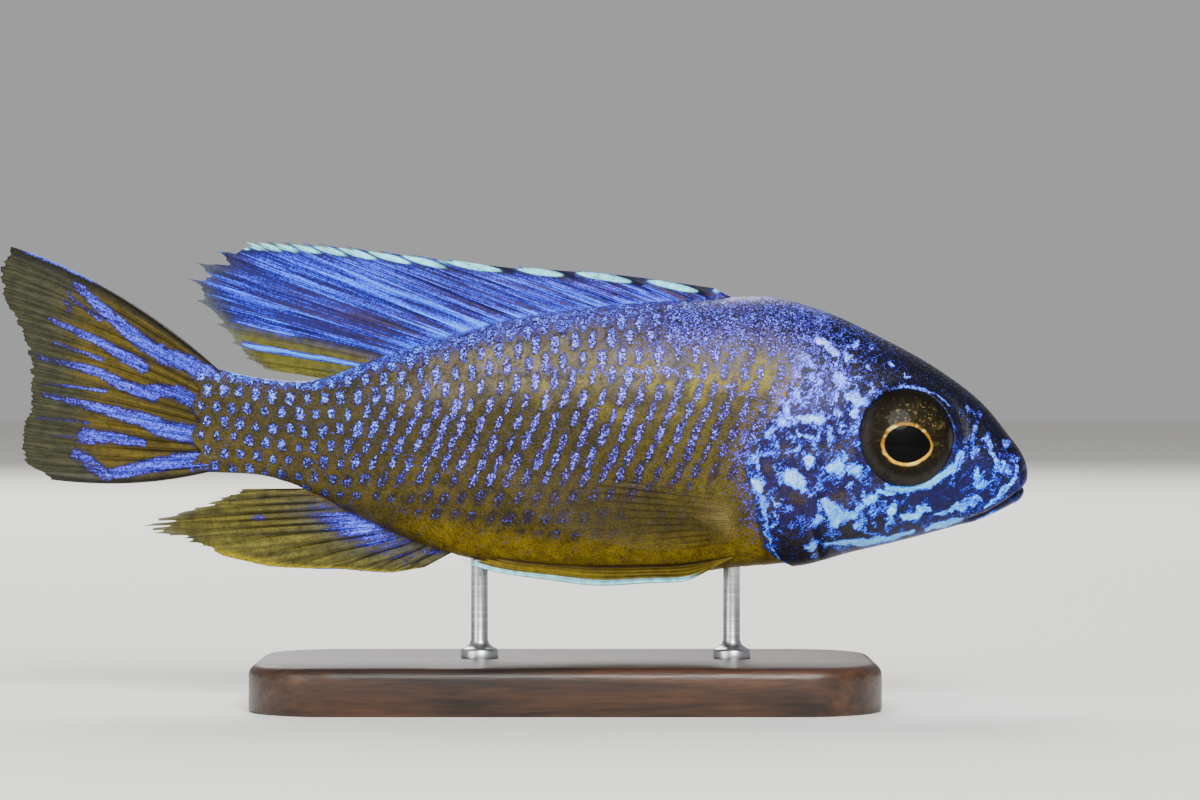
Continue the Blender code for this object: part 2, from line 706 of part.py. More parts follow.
def main():
    """Builds every part."""
    clear_scene()
    blue = material("head_blue", (0.05, 0.08, 0.45), 0.35)
    gold = material("flank_gold", (0.34, 0.26, 0.06), 0.4)
    fin_blue = material("fin_blue", (0.14, 0.16, 0.62), 0.4)
    fin_gold = material("fin_gold", (0.36, 0.25, 0.05), 0.4)
    clear_fin = material("fin_clear", (0.42, 0.38, 0.25), 0.35)
    pupil = material("eye_black", (0.02, 0.015, 0.01), 0.1)
    wood = material("stand_wood", (0.09, 0.045, 0.02), 0.45)
    metal = material("stand_metal", (0.55, 0.56, 0.58), 0.3, 1.0)
    head(blue)
    torso(gold)
    tail_root(gold)
    dorsal_fin(fin_blue)
    tail_fin(fin_gold)
    anal_fin(fin_gold)
    for side, word in ((-1, "right"), (1, "left")):
        eye = ellipsoid("eye_" + word, side, EYE_RADIUS, EYE_DEPTH, look=pupil)
        smooth_shaded(eye)
        pectoral_fin(side, "pectoral_fin_" + word, clear_fin)
        pelvic_fin(side, "pelvic_fin_" + word, clear_fin)
    plinth(wood)
    for name, x in RODS.items():
        rod(name, x, metal)


main()
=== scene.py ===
# %% [markdown]
# # A peacock cichlid on its stand
# The object is a life-size museum model of a small lake fish, shown as it swims. One skin is
# carried from the snout to the root of the tail, because a real fish has no seams. Scales are real
# plates laid over it in rows, and the fins are thin sheets stiffened by rays. All sizes are in
# millimetres, with the snout towards +X and the fish's right side towards -Y.

# %% The frame and the tools
import math

import bpy
import numpy as np
from mathutils import Matrix, Vector


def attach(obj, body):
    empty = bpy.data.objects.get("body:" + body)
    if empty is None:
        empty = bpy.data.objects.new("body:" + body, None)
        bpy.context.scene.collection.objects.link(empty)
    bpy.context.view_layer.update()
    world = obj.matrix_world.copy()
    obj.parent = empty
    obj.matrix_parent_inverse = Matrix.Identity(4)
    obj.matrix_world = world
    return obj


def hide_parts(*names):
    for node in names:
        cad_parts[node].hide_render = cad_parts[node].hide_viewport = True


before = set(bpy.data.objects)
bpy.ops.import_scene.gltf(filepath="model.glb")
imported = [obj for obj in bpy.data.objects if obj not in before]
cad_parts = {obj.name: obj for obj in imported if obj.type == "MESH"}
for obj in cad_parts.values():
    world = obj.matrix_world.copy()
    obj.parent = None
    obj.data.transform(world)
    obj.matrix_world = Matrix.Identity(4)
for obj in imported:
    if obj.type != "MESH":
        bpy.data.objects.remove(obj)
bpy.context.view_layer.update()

MM = 0.001

# %% [markdown]
# The outline of the body is given by a few curves along its length. A curve is a short list of
# places and values with a smooth cubic between them, so it can be read off at any station. The
# numbers are the ones the solids were built from, so the skin lies on them everywhere.

# %% The body's curves
BACK = [
    (-31.4, 35.8), (-27.5, 34.9), (-22.0, 34.4), (-14.8, 36.6), (-6.3, 39.3),
    (2.2, 41.4), (10.7, 42.5), (19.2, 43.1), (26.6, 43.4), (33.0, 42.0),
    (39.4, 39.1), (45.8, 35.5), (50.5, 31.8), (53.4, 28.2),
]
BELLY = [
    (-31.4, 24.7), (-26.0, 24.3), (-21.7, 22.9), (-15.9, 19.9), (-9.5, 17.2),
    (-1.0, 14.9), (7.5, 14.0), (16.0, 13.9), (24.5, 14.7), (31.9, 15.4),
    (38.3, 16.7), (44.7, 18.3), (50.5, 20.1), (53.4, 21.6),
]
HALF_WIDTH = [
    (-31.4, 0.8), (-27.0, 1.5), (-20.0, 2.6), (-10.0, 4.3), (0.0, 5.7), (10.0, 6.8),
    (20.0, 7.4), (27.0, 7.5), (33.0, 7.2), (39.0, 6.4), (45.0, 5.3), (50.0, 4.1), (53.4, 3.2),
]
WIDEST = [(-31.4, 0.50), (0.0, 0.56), (25.0, 0.50), (40.0, 0.44), (53.4, 0.42)]
FULLNESS_ABOVE = [(-31.4, 2.0), (10.0, 1.9), (35.0, 2.05), (53.4, 2.2)]
FULLNESS_BELOW = [(-31.4, 2.0), (10.0, 2.25), (30.0, 2.1), (45.0, 1.9), (53.4, 2.1)]
TAIL_END, SNOUT_START, SNOUT_TIP, SNOUT_HEIGHT = -31.4, 53.4, 55.0, 25.0
SNOUT_FALL = 0.62
TAIL_BEND, BEND_START = 2.2, 12.0
UNIT, VIEW_MIDDLE, VIEW_FLOOR = 0.10628, 509.5, 705


def through(points, at):
    """Smooth curve through (place, value) points: h00 v0 + h01 v1 plus the end slopes' share, where h
    are the cubic Hermite weights and a slope is the mean of its neighbours', or 0 at a turn."""
    place, value = np.array(points, float).T
    step = np.diff(place)
    slope = np.diff(value) / step
    tangent = np.concatenate([slope[:1], (slope[:-1] + slope[1:]) / 2, slope[-1:]])
    tangent[1:-1][slope[:-1] * slope[1:] <= 0] = 0
    at = np.clip(at, place[0], place[-1])
    i = np.clip(np.searchsorted(place, at) - 1, 0, len(step) - 1)
    t = (at - place[i]) / step[i]
    rise = t * t * (3 - 2 * t)
    lead = t * (1 - t) ** 2 * step[i] * tangent[i]
    trail = t * t * (1 - t) * step[i] * tangent[i + 1]
    return value[i] + rise * (value[i + 1] - value[i]) + lead - trail


def smooth(low, high, x):
    """0 below low, 1 above high, 3t^2 - 2t^3 between. low may be the larger of the two."""
    t = np.clip((x - low) / (high - low), 0, 1)
    return t * t * (3 - 2 * t)


def bell(away, wide):
    """1 in the middle, falling off on both sides as exp(-(away / wide)^2)."""
    return np.exp(-((away / wide) ** 2))


def bend(x):
    """Sideways place of the body's middle: grows as the square of the way behind BEND_START."""
    return TAIL_BEND * np.clip((BEND_START - x) / (BEND_START - TAIL_END), 0, None) ** 2


def section(x):
    """Top, bottom, widest level, half width and fullness of the body at x. The snout is closed by an
    ellipse: measures are scaled by sqrt(1 - c^2), c being the way from SNOUT_START to the tip, but
    the upper profile falls as (1 - c)^SNOUT_FALL."""
    within = np.minimum(x, SNOUT_START)
    closing = np.clip((x - SNOUT_START) / (SNOUT_TIP - SNOUT_START), 0, 1)
    share = np.sqrt(1 - closing**2)
    top = SNOUT_HEIGHT + (through(BACK, within) - SNOUT_HEIGHT) * (1 - closing) ** SNOUT_FALL
    bottom = SNOUT_HEIGHT + (through(BELLY, within) - SNOUT_HEIGHT) * share
    level = bottom + through(WIDEST, within) * (top - bottom)
    width = through(HALF_WIDTH, within) * share
    return top, bottom, level, width, through(FULLNESS_ABOVE, within), through(FULLNESS_BELOW, within)


def flank(x, turn):
    """(half width, z) of the skin, a superellipse: width |sin a|^(2/n), reach |cos a|^(2/n), with
    a = pi * turn, so turn is 0 on the back, 0.5 at the widest level and 1 on the belly."""
    top, bottom, level, width, above, below = section(x)
    up = np.cos(np.pi * turn)
    power = np.where(up > 0, 2 / above, 2 / below)
    reach = np.where(up > 0, top - level, level - bottom)
    return width * np.abs(np.sin(np.pi * turn)) ** power, level + np.sign(up) * reach * np.abs(up) ** power


def half_width_at(x, z):
    """Distance from the middle to the skin at x and height z: width (1 - q^n)^(1/n)."""
    top, bottom, level, width, above, below = section(x)
    reach = np.where(z > level, top - level, level - bottom)
    power = np.where(z > level, above, below)
    share = np.clip(np.abs(z - level) / np.maximum(reach, 1e-6), 0, 1)
    return width * (1 - share**power) ** (1 / power)


def seen(column, row):
    """Model x and z, in mm, of a spot in the side view, whose unit is UNIT mm."""
    return (column - VIEW_MIDDLE) * UNIT, (VIEW_FLOOR - row) * UNIT


print("body is", round(float(through(BACK, 13) - through(BELLY, 13)), 1), "mm deep")

# %% [markdown]
# Meshes are made from whole arrays. A helper turns a grid of points into faces, and another puts
# points, faces, colours and the bake map into one mesh in a single step each.

# %% Grids and meshes


def grid_faces(rows, cols, around=False):
    """Corner numbers of a grid's faces, and each corner's place in the grid as (row, column)."""
    i, j = np.meshgrid(np.arange(rows - 1), np.arange(cols if around else cols - 1), indexing="ij")
    i, j = i.ravel()[:, None] + [0, 0, 1, 1], j.ravel()[:, None] + [0, 1, 1, 0]
    return i * cols + j % cols, np.stack([i, j], -1)


def fans(rows, cols):
    """Triangles that close a grid which runs round at both ends, each from a point after the grid's."""
    ring, last = np.arange(cols), (rows - 1) * cols
    front = np.stack([np.full(cols, rows * cols), np.roll(ring, -1), ring], 1)
    return front, np.stack([np.full(cols, rows * cols + 1), last + ring, last + np.roll(ring, -1)], 1)


def make(name, points, faces, look, fields=None, bake=None):
    """A finished piece from points in mm. fields are values at the points, bake is a UV at each corner."""
    mesh = bpy.data.meshes.new(name)
    mesh.from_pydata((np.asarray(points) * MM).tolist(), [], [list(f) for f in faces])
    mesh.materials.append(look)
    for field, values in (fields or {}).items():
        kind, key = ("FLOAT", "value") if values.ndim == 1 else ("FLOAT_COLOR", "color")
        mesh.attributes.new(field, kind, "POINT").data.foreach_set(key, values.astype(np.float32).ravel())
    if bake is not None:
        mesh.uv_layers.new(name="OFBake").data.foreach_set("uv", bake.astype(np.float32).ravel())
    mesh.shade_smooth()
    piece = bpy.data.objects.new(name, mesh)
    bpy.context.scene.collection.objects.link(piece)
    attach(piece, "root")
    print(f"{name}: {sum(len(f) - 2 for f in faces)} triangles")
    return piece


def normals(points, around=False):
    """Unit normals of a grid of points: the cross product of its two directions."""
    along = np.gradient(points, axis=0)
    across = (np.roll(points, -1, 1) - np.roll(points, 1, 1)) / 2 if around else np.gradient(points, axis=1)
    out = np.cross(across, along)
    return out / np.maximum(np.linalg.norm(out, axis=-1, keepdims=True), 1e-9)


print("a grid of 3 by 3 points has", len(grid_faces(3, 3)[0]), "faces")

# %% Fields and colours


def cloud(x, z, size, seed):
    """Smooth random field, 0 to 1: random numbers on a square lattice of pitch size, blended by
    3t^2 - 2t^3."""
    table = np.random.default_rng(seed).random((256, 256))
    u, v = x / size + 97.0, z / size + 53.0
    i, j = np.floor(u).astype(int), np.floor(v).astype(int)
    s, t = smooth(0, 1, u - i), smooth(0, 1, v - j)
    at = lambda di, dj: table[(i + di) % 256, (j + dj) % 256]
    return (at(0, 0) * (1 - s) + at(1, 0) * s) * (1 - t) + (at(0, 1) * (1 - s) + at(1, 1) * s) * t


def from_line(line, x, z):
    """Distance of (x, z) from a line of points, and how far along the line it is, 0 to 1."""
    line = np.array(line, float)
    lengths = np.hypot(*np.diff(line, axis=0).T)
    before = np.concatenate([[0], np.cumsum(lengths)])
    best, place = np.full(np.shape(x), 1e9), np.zeros(np.shape(x))
    for (x0, z0), (x1, z1), length, start in zip(line, line[1:], lengths, before):
        t = np.clip(((x - x0) * (x1 - x0) + (z - z0) * (z1 - z0)) / length**2, 0, 1)
        d = np.hypot(x - x0 - t * (x1 - x0), z - z0 - t * (z1 - z0))
        place = np.where(d < best, (start + t * length) / before[-1], place)
        best = np.minimum(best, d)
    return best, place


def colour(code):
    """Linear red, green, blue and 1 from a six-digit colour, by the usual 2.4 power curve."""
    part = np.array([int(code[i : i + 2], 16) / 255 for i in (0, 2, 4)])
    return np.append(np.where(part < 0.04045, part / 12.92, ((part + 0.055) / 1.055) ** 2.4), 1.0)


def layer(ground, *coats):
    """Coats of (colour, share) laid over a ground one after the other. share is how much of the coat
    shows at each point, and a colour is a six-digit code or an array."""
    as_colour = lambda c: colour(c) if isinstance(c, str) else c
    ground = as_colour(ground)
    for coat, share in coats:
        ground = ground + (as_colour(coat) - ground) * share[..., None]
    return ground


print("mid grey is", colour("808080").round(3))

# %% [markdown]
# Every living surface carries the same paint. Its ground colour, the strength of its glow (the
# blue light thrown back by tiny crystals in the skin) and the glow's hue are fields stored on the
# mesh. The material adds what is too fine for a mesh: noise breaks the glow up into grains, and
# each grain goes from a deep colour to a pale one as it gets stronger.

# %% Nodes that can be reckoned with


class Value:
    """The output of a node. A sum, difference, product, quotient or power of two values, or of a value
    and a number, is the output of the Math node that works it out."""

    def __init__(self, socket):
        self.socket, self.tree = socket, socket.id_data

    def of(self, name):
        """Another output of the same node."""
        return Value(self.socket.node.outputs[name])

    def math(self, kind, other=0.0):
        """The Math node of a kind, which for most kinds takes a second value."""
        return add(self.tree, "Math", {0: self, 1: other}, operation=kind)

    def __add__(self, other):
        return self.math("ADD", other)

    def __sub__(self, other):
        return self.math("SUBTRACT", other)

    def __mul__(self, other):
        return self.math("MULTIPLY", other)

    def __truediv__(self, other):
        return self.math("DIVIDE", other)

    def __pow__(self, other):
        return self.math("POWER", other)

    def span(self, low, high, to_low=0.0, to_high=1.0, kind="LINEAR"):
        """This value carried from one range to another."""
        ends = {"Value": self, "From Min": low, "From Max": high, "To Min": to_low, "To Max": to_high}
        return add(self.tree, "MapRange", ends, interpolation_type=kind)

    def ramp(self, stops):
        """The colour at this value on a scale of (place, colour) stops."""
        made = add(self.tree, "ValToRGB", {"Fac": self})
        elements = made.socket.node.color_ramp.elements
        for place, _ in stops[2:]:
            elements.new(place)
        for element, (place, code) in zip(elements, stops):
            element.position, element.color = place, colour(code)
        return made

    def noise(self, scale, **sockets):
        """Noise at this place."""
        return add(self.tree, "TexNoise", {"Vector": self, "Scale": scale, **sockets})

    def shaded(self, share):
        """This colour times a value."""
        return add(self.tree, "VectorMath", {0: self, "Scale": share}, operation="SCALE")


def plug(made, sockets):
    """Links each socket of a node to a value, or sets it."""
    for key, value in sockets.items():
        if isinstance(value, Value):
            value.tree.links.new(value.socket, made.inputs[key])
        else:
            made.inputs[key].default_value = value


def add(tree, kind, sockets=None, out=0, **settings):
    """An output of a new node, with its settings made first and then its sockets linked or set."""
    made = tree.nodes.new("ShaderNode" + kind)
    for name, value in settings.items():
        setattr(made, name, value)
    plug(made, sockets or {})
    return Value(made.outputs[out])


def stored(tree, name, out="Fac"):
    """A field of the mesh."""
    return add(tree, "Attribute", out=out, attribute_name=name)


def new_look(name):
    """A material, its shader, its tree and the place in the object."""
    look = bpy.data.materials.new(name)
    look.use_nodes = True
    tree = look.node_tree
    return look, tree.nodes["Principled BSDF"], tree, add(tree, "TexCoord", out="Object")


# %% The paint's grain
LILAC = [
    (0.30, "181018"), (0.42, "302048"), (0.54, "4A3CB4"), (0.67, "6258E4"), (0.82, "7E78F6"),
    (0.97, "C2BAFF"),
]
CYAN = [
    (0.30, "0A0828"), (0.42, "14168C"), (0.54, "1A40F0"), (0.67, "1C7AFF"), (0.80, "34AEFF"),
    (0.92, "5CBEFF"), (1.0, "9CE6FF"),
]


def speckle(where, size):
    """A value round 0.5 made of dots: half of each Voronoi cell's own chance, more at the cell's middle,
    and 0.4 of a noise of the same size."""
    cells = add(where.tree, "TexVoronoi", {"Vector": where, "Scale": 1 / (size * MM)}, out="Distance")
    chance = add(where.tree, "SeparateColor", {"Color": cells.of("Color")})
    fine = where.noise(0.8 / (size * MM), Detail=2.0)
    return chance * 0.5 + cells.span(0.1, 0.8, 0.3, -0.14) + fine * 0.4


def strokes(tree, across, along):
    """Noise drawn out along a fin's rays, with its contrast doubled. The rays' map has u across them."""
    rays = add(tree, "UVMap", uv_map="rays")
    drawn = add(tree, "Mapping", {"Vector": rays, "Scale": (across, along, 1)})
    return drawn.noise(1.0, Detail=2.0, Roughness=0.6).span(0.25, 0.75)


def one_lattice(step, row, tall, slant, odd):
    """Distance from the nearest bar of every second row, 1 on its outline: (a^2.2 + b^2.4)^(1/2.3), with
    a across and b along the bar. A bar sits a quarter of a step behind its scale's seat and leans by
    slant. Its place and size differ by chance."""
    tree = step.tree
    from_odd, shifted = row - odd, step - (0.25 + 0.5 * odd)
    pair, place = (from_odd * 0.5).math("ROUND"), shifted.math("ROUND")
    seat = add(tree, "CombineXYZ", {"X": place, "Y": pair, "Z": odd})
    chance = add(tree, "TexWhiteNoise", {"Vector": seat}, out="Color")
    draws = add(tree, "SeparateColor", {"Color": chance})
    off_row = from_odd - pair * 2.0 + draws.span(0.0, 1.0, -0.1, 0.1)
    off_step = shifted - place + draws.of("Green").span(0.0, 1.0, -0.1, 0.1)
    a = (off_step - slant * off_row).math("ABSOLUTE") / tall.span(0.3, 0.46, 0.22, 0.19)
    b = off_row.math("ABSOLUTE") / tall
    return (a**2.2 + b**2.4) ** (1 / 2.3) / draws.of("Blue").span(0.0, 1.0, 0.8, 1.15)


def from_bars(tree):
    """Distance from the nearest bar of either set of rows. step counts scales along the body and row
    counts rows round it; both are stored on the mesh."""
    fields = [stored(tree, name) for name in ("step", "row", "tall", "slant")]
    return one_lattice(*fields, 0.0).math("MINIMUM", one_lattice(*fields, 1.0))


# %% The paint of skin, scales and fins
VEIN_LEAN = 0.75
WET = {"Coat Roughness": 0.1, "Coat IOR": 1.34}


def paint(
    name, grain, spread, rough, bump, streaks=None, drawn=0.6, veins=0.0, coat=0.0, clear=False,
    metallic=0.3,
):
    """Ground and glow, read from the mesh. grain is the size of a grain in mm and spread is how much it
    breaks the glow up, less so where the glow is strong. streaks, (across, along), draws a share of the
    grain out along a fin's rays; without it the scales' bars are drawn. veins adds bright lines, drawn
    out up and ahead, where a coarser noise crosses its middle value. Where the sum of glow, grain and
    veins passes 0.3 to 0.42, ground gives way to glow."""
    look, shader, tree, where = new_look(name)
    ground, glow = stored(tree, "ground", "Color"), stored(tree, "glow")
    grains = speckle(where, grain)
    if streaks:
        grains = grains * (1.0 - drawn) + strokes(tree, *streaks) * drawn
    else:
        bar = stored(tree, "bar")
        ragged = where.noise(1 / (2.6 * grain * MM), Detail=3.0, Roughness=0.7)
        away = from_bars(tree) + ragged.span(0.3, 0.7, -0.4, 0.4)
        glow = glow.math("MAXIMUM", bar * away.span(0.8, 1.35, 1.0, 0.0))
        dusky = away.span(0.9, 1.6, 0.8, 0.0) * bar.span(0.02, 0.2)
        ground = add(tree, "Mix", {0: dusky, 6: ground, 7: colour("28202C")}, out=2, data_type="RGBA")
    calm = glow.span(0.6, 0.9, 1.0, 0.4, "SMOOTHSTEP")
    strength = glow + (grains - 0.5) * spread * calm
    if veins:
        lean = {"Vector": where, "Rotation": (0, VEIN_LEAN, 0), "Scale": (1, 1, 2.2)}
        wave = add(tree, "Mapping", lean, vector_type="TEXTURE").noise(
            1 / (3 * grain * MM), Detail=1.5, Distortion=1.0,
        )
        line = (wave - 0.5).math("ABSOLUTE").span(0.0, 0.1, 0.7 * veins, -0.3 * veins)
        strength = strength + line * calm
    hues = {0: stored(tree, "hue"), 6: strength.ramp(LILAC), 7: strength.ramp(CYAN)}
    glowing = add(tree, "Mix", hues, out=2, data_type="RGBA")
    broad = where.noise(1 / (6 * grain * MM), Detail=3.0)
    shade = (broad + grains).span(0.6, 1.4, 0.3, 1.25 if streaks else 1.1)
    shows = strength.span(0.3, 0.42, kind="SMOOTHSTEP")
    both = {0: shows, 6: ground.shaded(shade), 7: glowing}
    plug(shader, {
        "Base Color": add(tree, "Mix", both, out=2, data_type="RGBA"), "Metallic": shows * metallic,
        "Roughness": grains.span(0.3, 0.7, rough - 0.08, rough + 0.08), "Specular IOR Level": 0.18,
        "Normal": add(tree, "Bump", {"Distance": bump * MM, "Strength": 1.0, "Height": grains}),
    })
    if coat:
        plug(shader, {"Coat Weight": coat, **WET})
    if clear:
        plug(shader, {"Alpha": stored(tree, "solid")})
    return look


skin_paint = paint("wet_skin", 0.17, 0.56, 0.38, 0.045, veins=0.4, coat=0.03, metallic=0.2)
scale_paint = paint("scales", 0.17, 1.2, 0.42, 0.035, metallic=0.2)
fin_paint = paint("fins", 0.15, 0.95, 0.5, 0.03, streaks=(190, 2.6), drawn=0.66, clear=True)
tail_paint = paint("tail_fins", 0.18, 0.74, 0.5, 0.03, streaks=(90, 5), drawn=0.35, clear=True)
clear_paint = paint("clear_fins", 0.12, 0.5, 0.45, 0.02, streaks=(150, 3), clear=True)
print("paints mixed")

# %% [markdown]
# The scales lie in rows along the body, each row set back half a scale from the next, as roof
# tiles do. Rows are counted by the way round the flank from its midline, so that they keep their
# width where the body curves under. A table of the flank, worked out once, turns a place along the
# body and a way round it into a point of the skin.

# %% The table of the flank
ARC_STEP = 0.1
TABLE_X = np.linspace(TAIL_END, 37.0, 340)
TABLE_ARC = np.arange(-23.0, 27.0, ARC_STEP)
MIDLINE = [(-31.4, 30.2), (-20.0, 29.2), (0.0, 30.0), (15.0, 31.0), (31.0, 31.5)]
GILL_EDGE = [
    (15.2, 29.8), (16.5, 27.5), (19.0, 26.5), (22.9, 25.6), (25.5, 24.9),
    (28.0, 25.7), (31.0, 28.3), (34.5, 30.6), (38.8, 31.5), (43.5, 32.2),
]


def flank_line(x):
    """Half width and height at each TABLE_ARC below the midline at x, and how far back and belly are."""
    wide, z = flank(x, np.linspace(0, 1, 361))
    arc = np.concatenate([[0], np.cumsum(np.hypot(np.diff(wide), np.diff(z)))])
    middle = np.interp(-through(MIDLINE, x), -z, arc)
    wanted = TABLE_ARC + middle
    return np.interp(wanted, arc, wide), np.interp(wanted, arc, z), middle, arc[-1] - middle


wide_table, z_table, to_back, to_belly = (np.array(t) for t in zip(*[flank_line(x) for x in TABLE_X]))


def on_flank(x, arc):
    """Half width and height of the skin at x, a distance arc below the midline along the skin: the
    tables' values blended between their four nearest entries."""
    i = np.clip((x - TABLE_X[0]) / (TABLE_X[1] - TABLE_X[0]), 0, len(TABLE_X) - 1.001)
    j = np.clip((arc - TABLE_ARC[0]) / ARC_STEP, 0, len(TABLE_ARC) - 1.001)
    a, b = i.astype(int), j.astype(int)
    s, t = i - a, j - b
    blended = lambda table: (table[a, b] * (1 - s) + table[a + 1, b] * s) * (1 - t) + (
        table[a, b + 1] * (1 - s) + table[a + 1, b + 1] * s
    ) * t
    return blended(wide_table), blended(z_table)


def body_share(x, z):
    """Height within the body at x: 0 on the belly, 1 on the back."""
    top, bottom, *_ = section(x)
    return np.clip((z - bottom) / np.maximum(top - bottom, 1e-6), 0, 1)


def head_side(x, z):
    """Distance ahead of the gill cover's free edge, in mm."""
    return x - through(GILL_EDGE, z)


print("the flank table has", wide_table.size, "entries")

# %% Where each scale sits
ROW_STEP = [(-31.4, 1.62), (-10.0, 1.85), (10.0, 2.1), (37.0, 2.05)]
SCALE_STEP = [(-31.4, 1.74), (-10.0, 1.88), (10.0, 1.98), (37.0, 1.95)]
FIRST_SEAT, ROWS, SEATS = 33.0, 10, 36
COUNT_X = np.linspace(60.0, TAIL_END - 6.0, 2000)
COUNT = np.cumsum((COUNT_X[0] - COUNT_X[1]) / through(SCALE_STEP, COUNT_X))
COUNT = COUNT - np.interp(-FIRST_SEAT, -COUNT_X, COUNT)
rng = np.random.default_rng(7)
row, place = np.meshgrid(np.arange(-ROWS, ROWS + 1), np.arange(SEATS), indexing="ij")
seat_x = np.interp(place + 0.5 * (row % 2), COUNT, COUNT_X)
seat_arc = row * through(ROW_STEP, seat_x)
_, seat_z = on_flank(seat_x, seat_arc)
above_seat = seat_arc + np.interp(seat_x, TABLE_X, to_back)
below_seat = np.interp(seat_x, TABLE_X, to_belly) - seat_arc
wanted = (np.minimum(above_seat, below_seat) > 0.45) & (head_side(seat_x, seat_z) < -0.5)
wanted &= seat_x > TAIL_END - 1.2
seats = np.stack([seat_x, seat_arc, through(SCALE_STEP, seat_x), through(ROW_STEP, seat_x)], -1)[wanted]
print(len(seats), "scales on a side")

# %% [markdown]
# Each scale of the flank carries one bar of glowing grains. Bars are tall and lean forward on the
# middle of the flank, are round dots on the narrow root of the tail, and fade into small dusky
# spots towards the belly. The mesh stores where each point is on the scales' lattice and how strong,
# tall and leaning the bars are there. The material draws them, so they stay crisp, and skin and
# scales agree.

# %% What the mesh says about the bars


def bar_fields(x, z, arc, share):
    """Fields for the bars at x, z and a distance arc below the midline. share is that of the head, and
    step is how many scales lie between x and the first seat: the sum of dx over a scale's length."""
    t = body_share(x, z)
    rear = smooth(-12, -22, x)
    low = smooth(0.38, 0.25, t) * (1 - 0.8 * rear)
    strength = 0.52 - 0.02 * rear - 0.32 * low - 0.5 * smooth(0.16, 0.08, t) * (1 - rear)
    strength += 0.08 * smooth(0.55, 0.75, t) - 0.12 * smooth(12, 24, x) * smooth(0.42, 0.56, t)
    strength -= 0.26 * smooth(6, 18, x) * smooth(0.5, 0.36, t)
    strength += 0.16 * (cloud(x, z, 2.0, 2) - 0.5)
    return {
        "step": np.interp(-x, -COUNT_X, COUNT), "row": arc / through(ROW_STEP, x),
        "bar": strength * (1 - share), "tall": 0.46 - 0.13 * rear - 0.16 * low,
        "slant": 0.34 * smooth(0.82, 0.6, t) * (1 - rear),
    }


# %% [markdown]
# Markings are functions of the place in the side view, and skin and scales both ask them. The
# ground runs from a golden belly over olive flanks to a violet back. The head is dark navy with
# pale patches: a patch is an ellipse whose outline is made ragged by noise.

# %% The head's patches
PATCHES = [  # column, row, half length, half width, angle in degrees, strength
    (888, 506, 7, 5.5, 60, 0.98), (908, 514, 8, 3.5, 10, 0.96), (921, 508, 4, 3.5, 0, 0.9),
    (938, 512, 5, 2.5, 10, 0.86), (954, 507, 9, 3, 24, 0.95), (969, 500, 6, 2.8, 28, 0.95),
    (976, 482, 6, 4, 20, 0.98), (974, 474, 3, 5, -10, 0.86), (986, 476, 4, 1.6, 40, 0.74),
    (970, 451, 4, 3.2, 0, 0.92), (1002, 468, 5, 4, 0, 0.84), (868, 495, 7, 5, 30, 0.92),
    (830, 466, 6, 8, 0, 0.98), (850, 468, 8, 5, -20, 0.92), (836, 458, 4, 4, 0, 0.8),
    (806, 461, 4, 4.5, 0, 0.98), (790, 478, 11, 7, -15, 0.98), (800, 490, 7, 3.5, -30, 0.8),
    (754, 482, 5, 9, 10, 0.98), (840, 516, 13, 6, 28, 0.9), (828, 508, 6, 8, 10, 0.95),
    (856, 508, 4.5, 8, -20, 0.84), (812, 520, 3.5, 5, 0, 0.9), (816, 506, 3, 5, 0, 0.7),
    (810, 543, 7, 3, 15, 0.78), (858, 524, 5, 5, 0, 0.78), (888, 521, 3.5, 7, -10, 0.7),
    (984, 437, 3, 3, 0, 0.82), (991, 455, 2.2, 7, 0, 0.74), (988, 446, 1.8, 5, 10, 0.66),
    (976, 414, 2.5, 4, 0, 0.6), (969, 434, 2.5, 8, -12, 0.62), (1002, 443, 2.5, 2.5, 0, 0.7),
    (966, 412, 1.6, 5, 20, 0.5), (992, 464, 2.5, 3.5, 0, 0.62), (954, 464, 4.5, 12, -25, 0.7),
    (806, 418, 13, 3.5, -8, 0.95), (796, 434, 11, 2.2, -5, 0.82), (782, 420, 6, 4.5, 20, 0.74),
    (854, 400, 7, 7, 0, 0.9), (850, 413, 7, 3.5, -40, 0.84), (838, 382, 8, 8, 0, 0.68),
    (814, 380, 7, 6, 0, 0.62), (820, 342, 7, 3.5, -35, 0.95), (832, 350, 8, 3.5, -35, 0.9),
    (846, 358, 6, 3.5, -35, 0.7), (868, 369, 3.5, 2, -50, 0.75), (887, 367, 3.5, 2.4, 30, 0.75),
    (905, 373, 5, 1.8, -25, 0.72), (882, 384, 3, 2, 0, 0.62), (852, 344, 3, 2, 0, 0.64),
    (870, 349, 3, 1.8, -40, 0.6), (828, 438, 2.2, 8, 0, 0.74), (850, 428, 4, 5, 0, 0.74),
    (762, 500, 2.5, 9, 25, 0.75), (770, 520, 2.5, 9, -20, 0.66), (763, 533, 2.5, 7, 15, 0.74),
    (775, 500, 2.5, 7, 30, 0.66), (800, 400, 7, 3.5, 40, 0.66), (872, 510, 3.5, 4.5, 0, 0.66),
    (790, 448, 6, 2.2, 10, 0.66), (770, 443, 5, 2.6, 10, 0.66), (752, 457, 3.5, 3, 0, 0.78),
    (845, 485, 3, 4, 0, 0.6), (880, 487, 8, 2.6, -10, 0.84), (766, 400, 3, 6, 20, 0.6),
    (752, 412, 3, 6, 30, 0.6), (738, 432, 3, 7, 35, 0.55), (774, 470, 3, 5, 0, 0.6),
    (742, 470, 3, 6, 20, 0.62), (810, 442, 3, 4, 0, 0.55), (870, 455, 3, 5, 10, 0.5),
    (1014, 458, 2, 4, -20, 0.6),
]
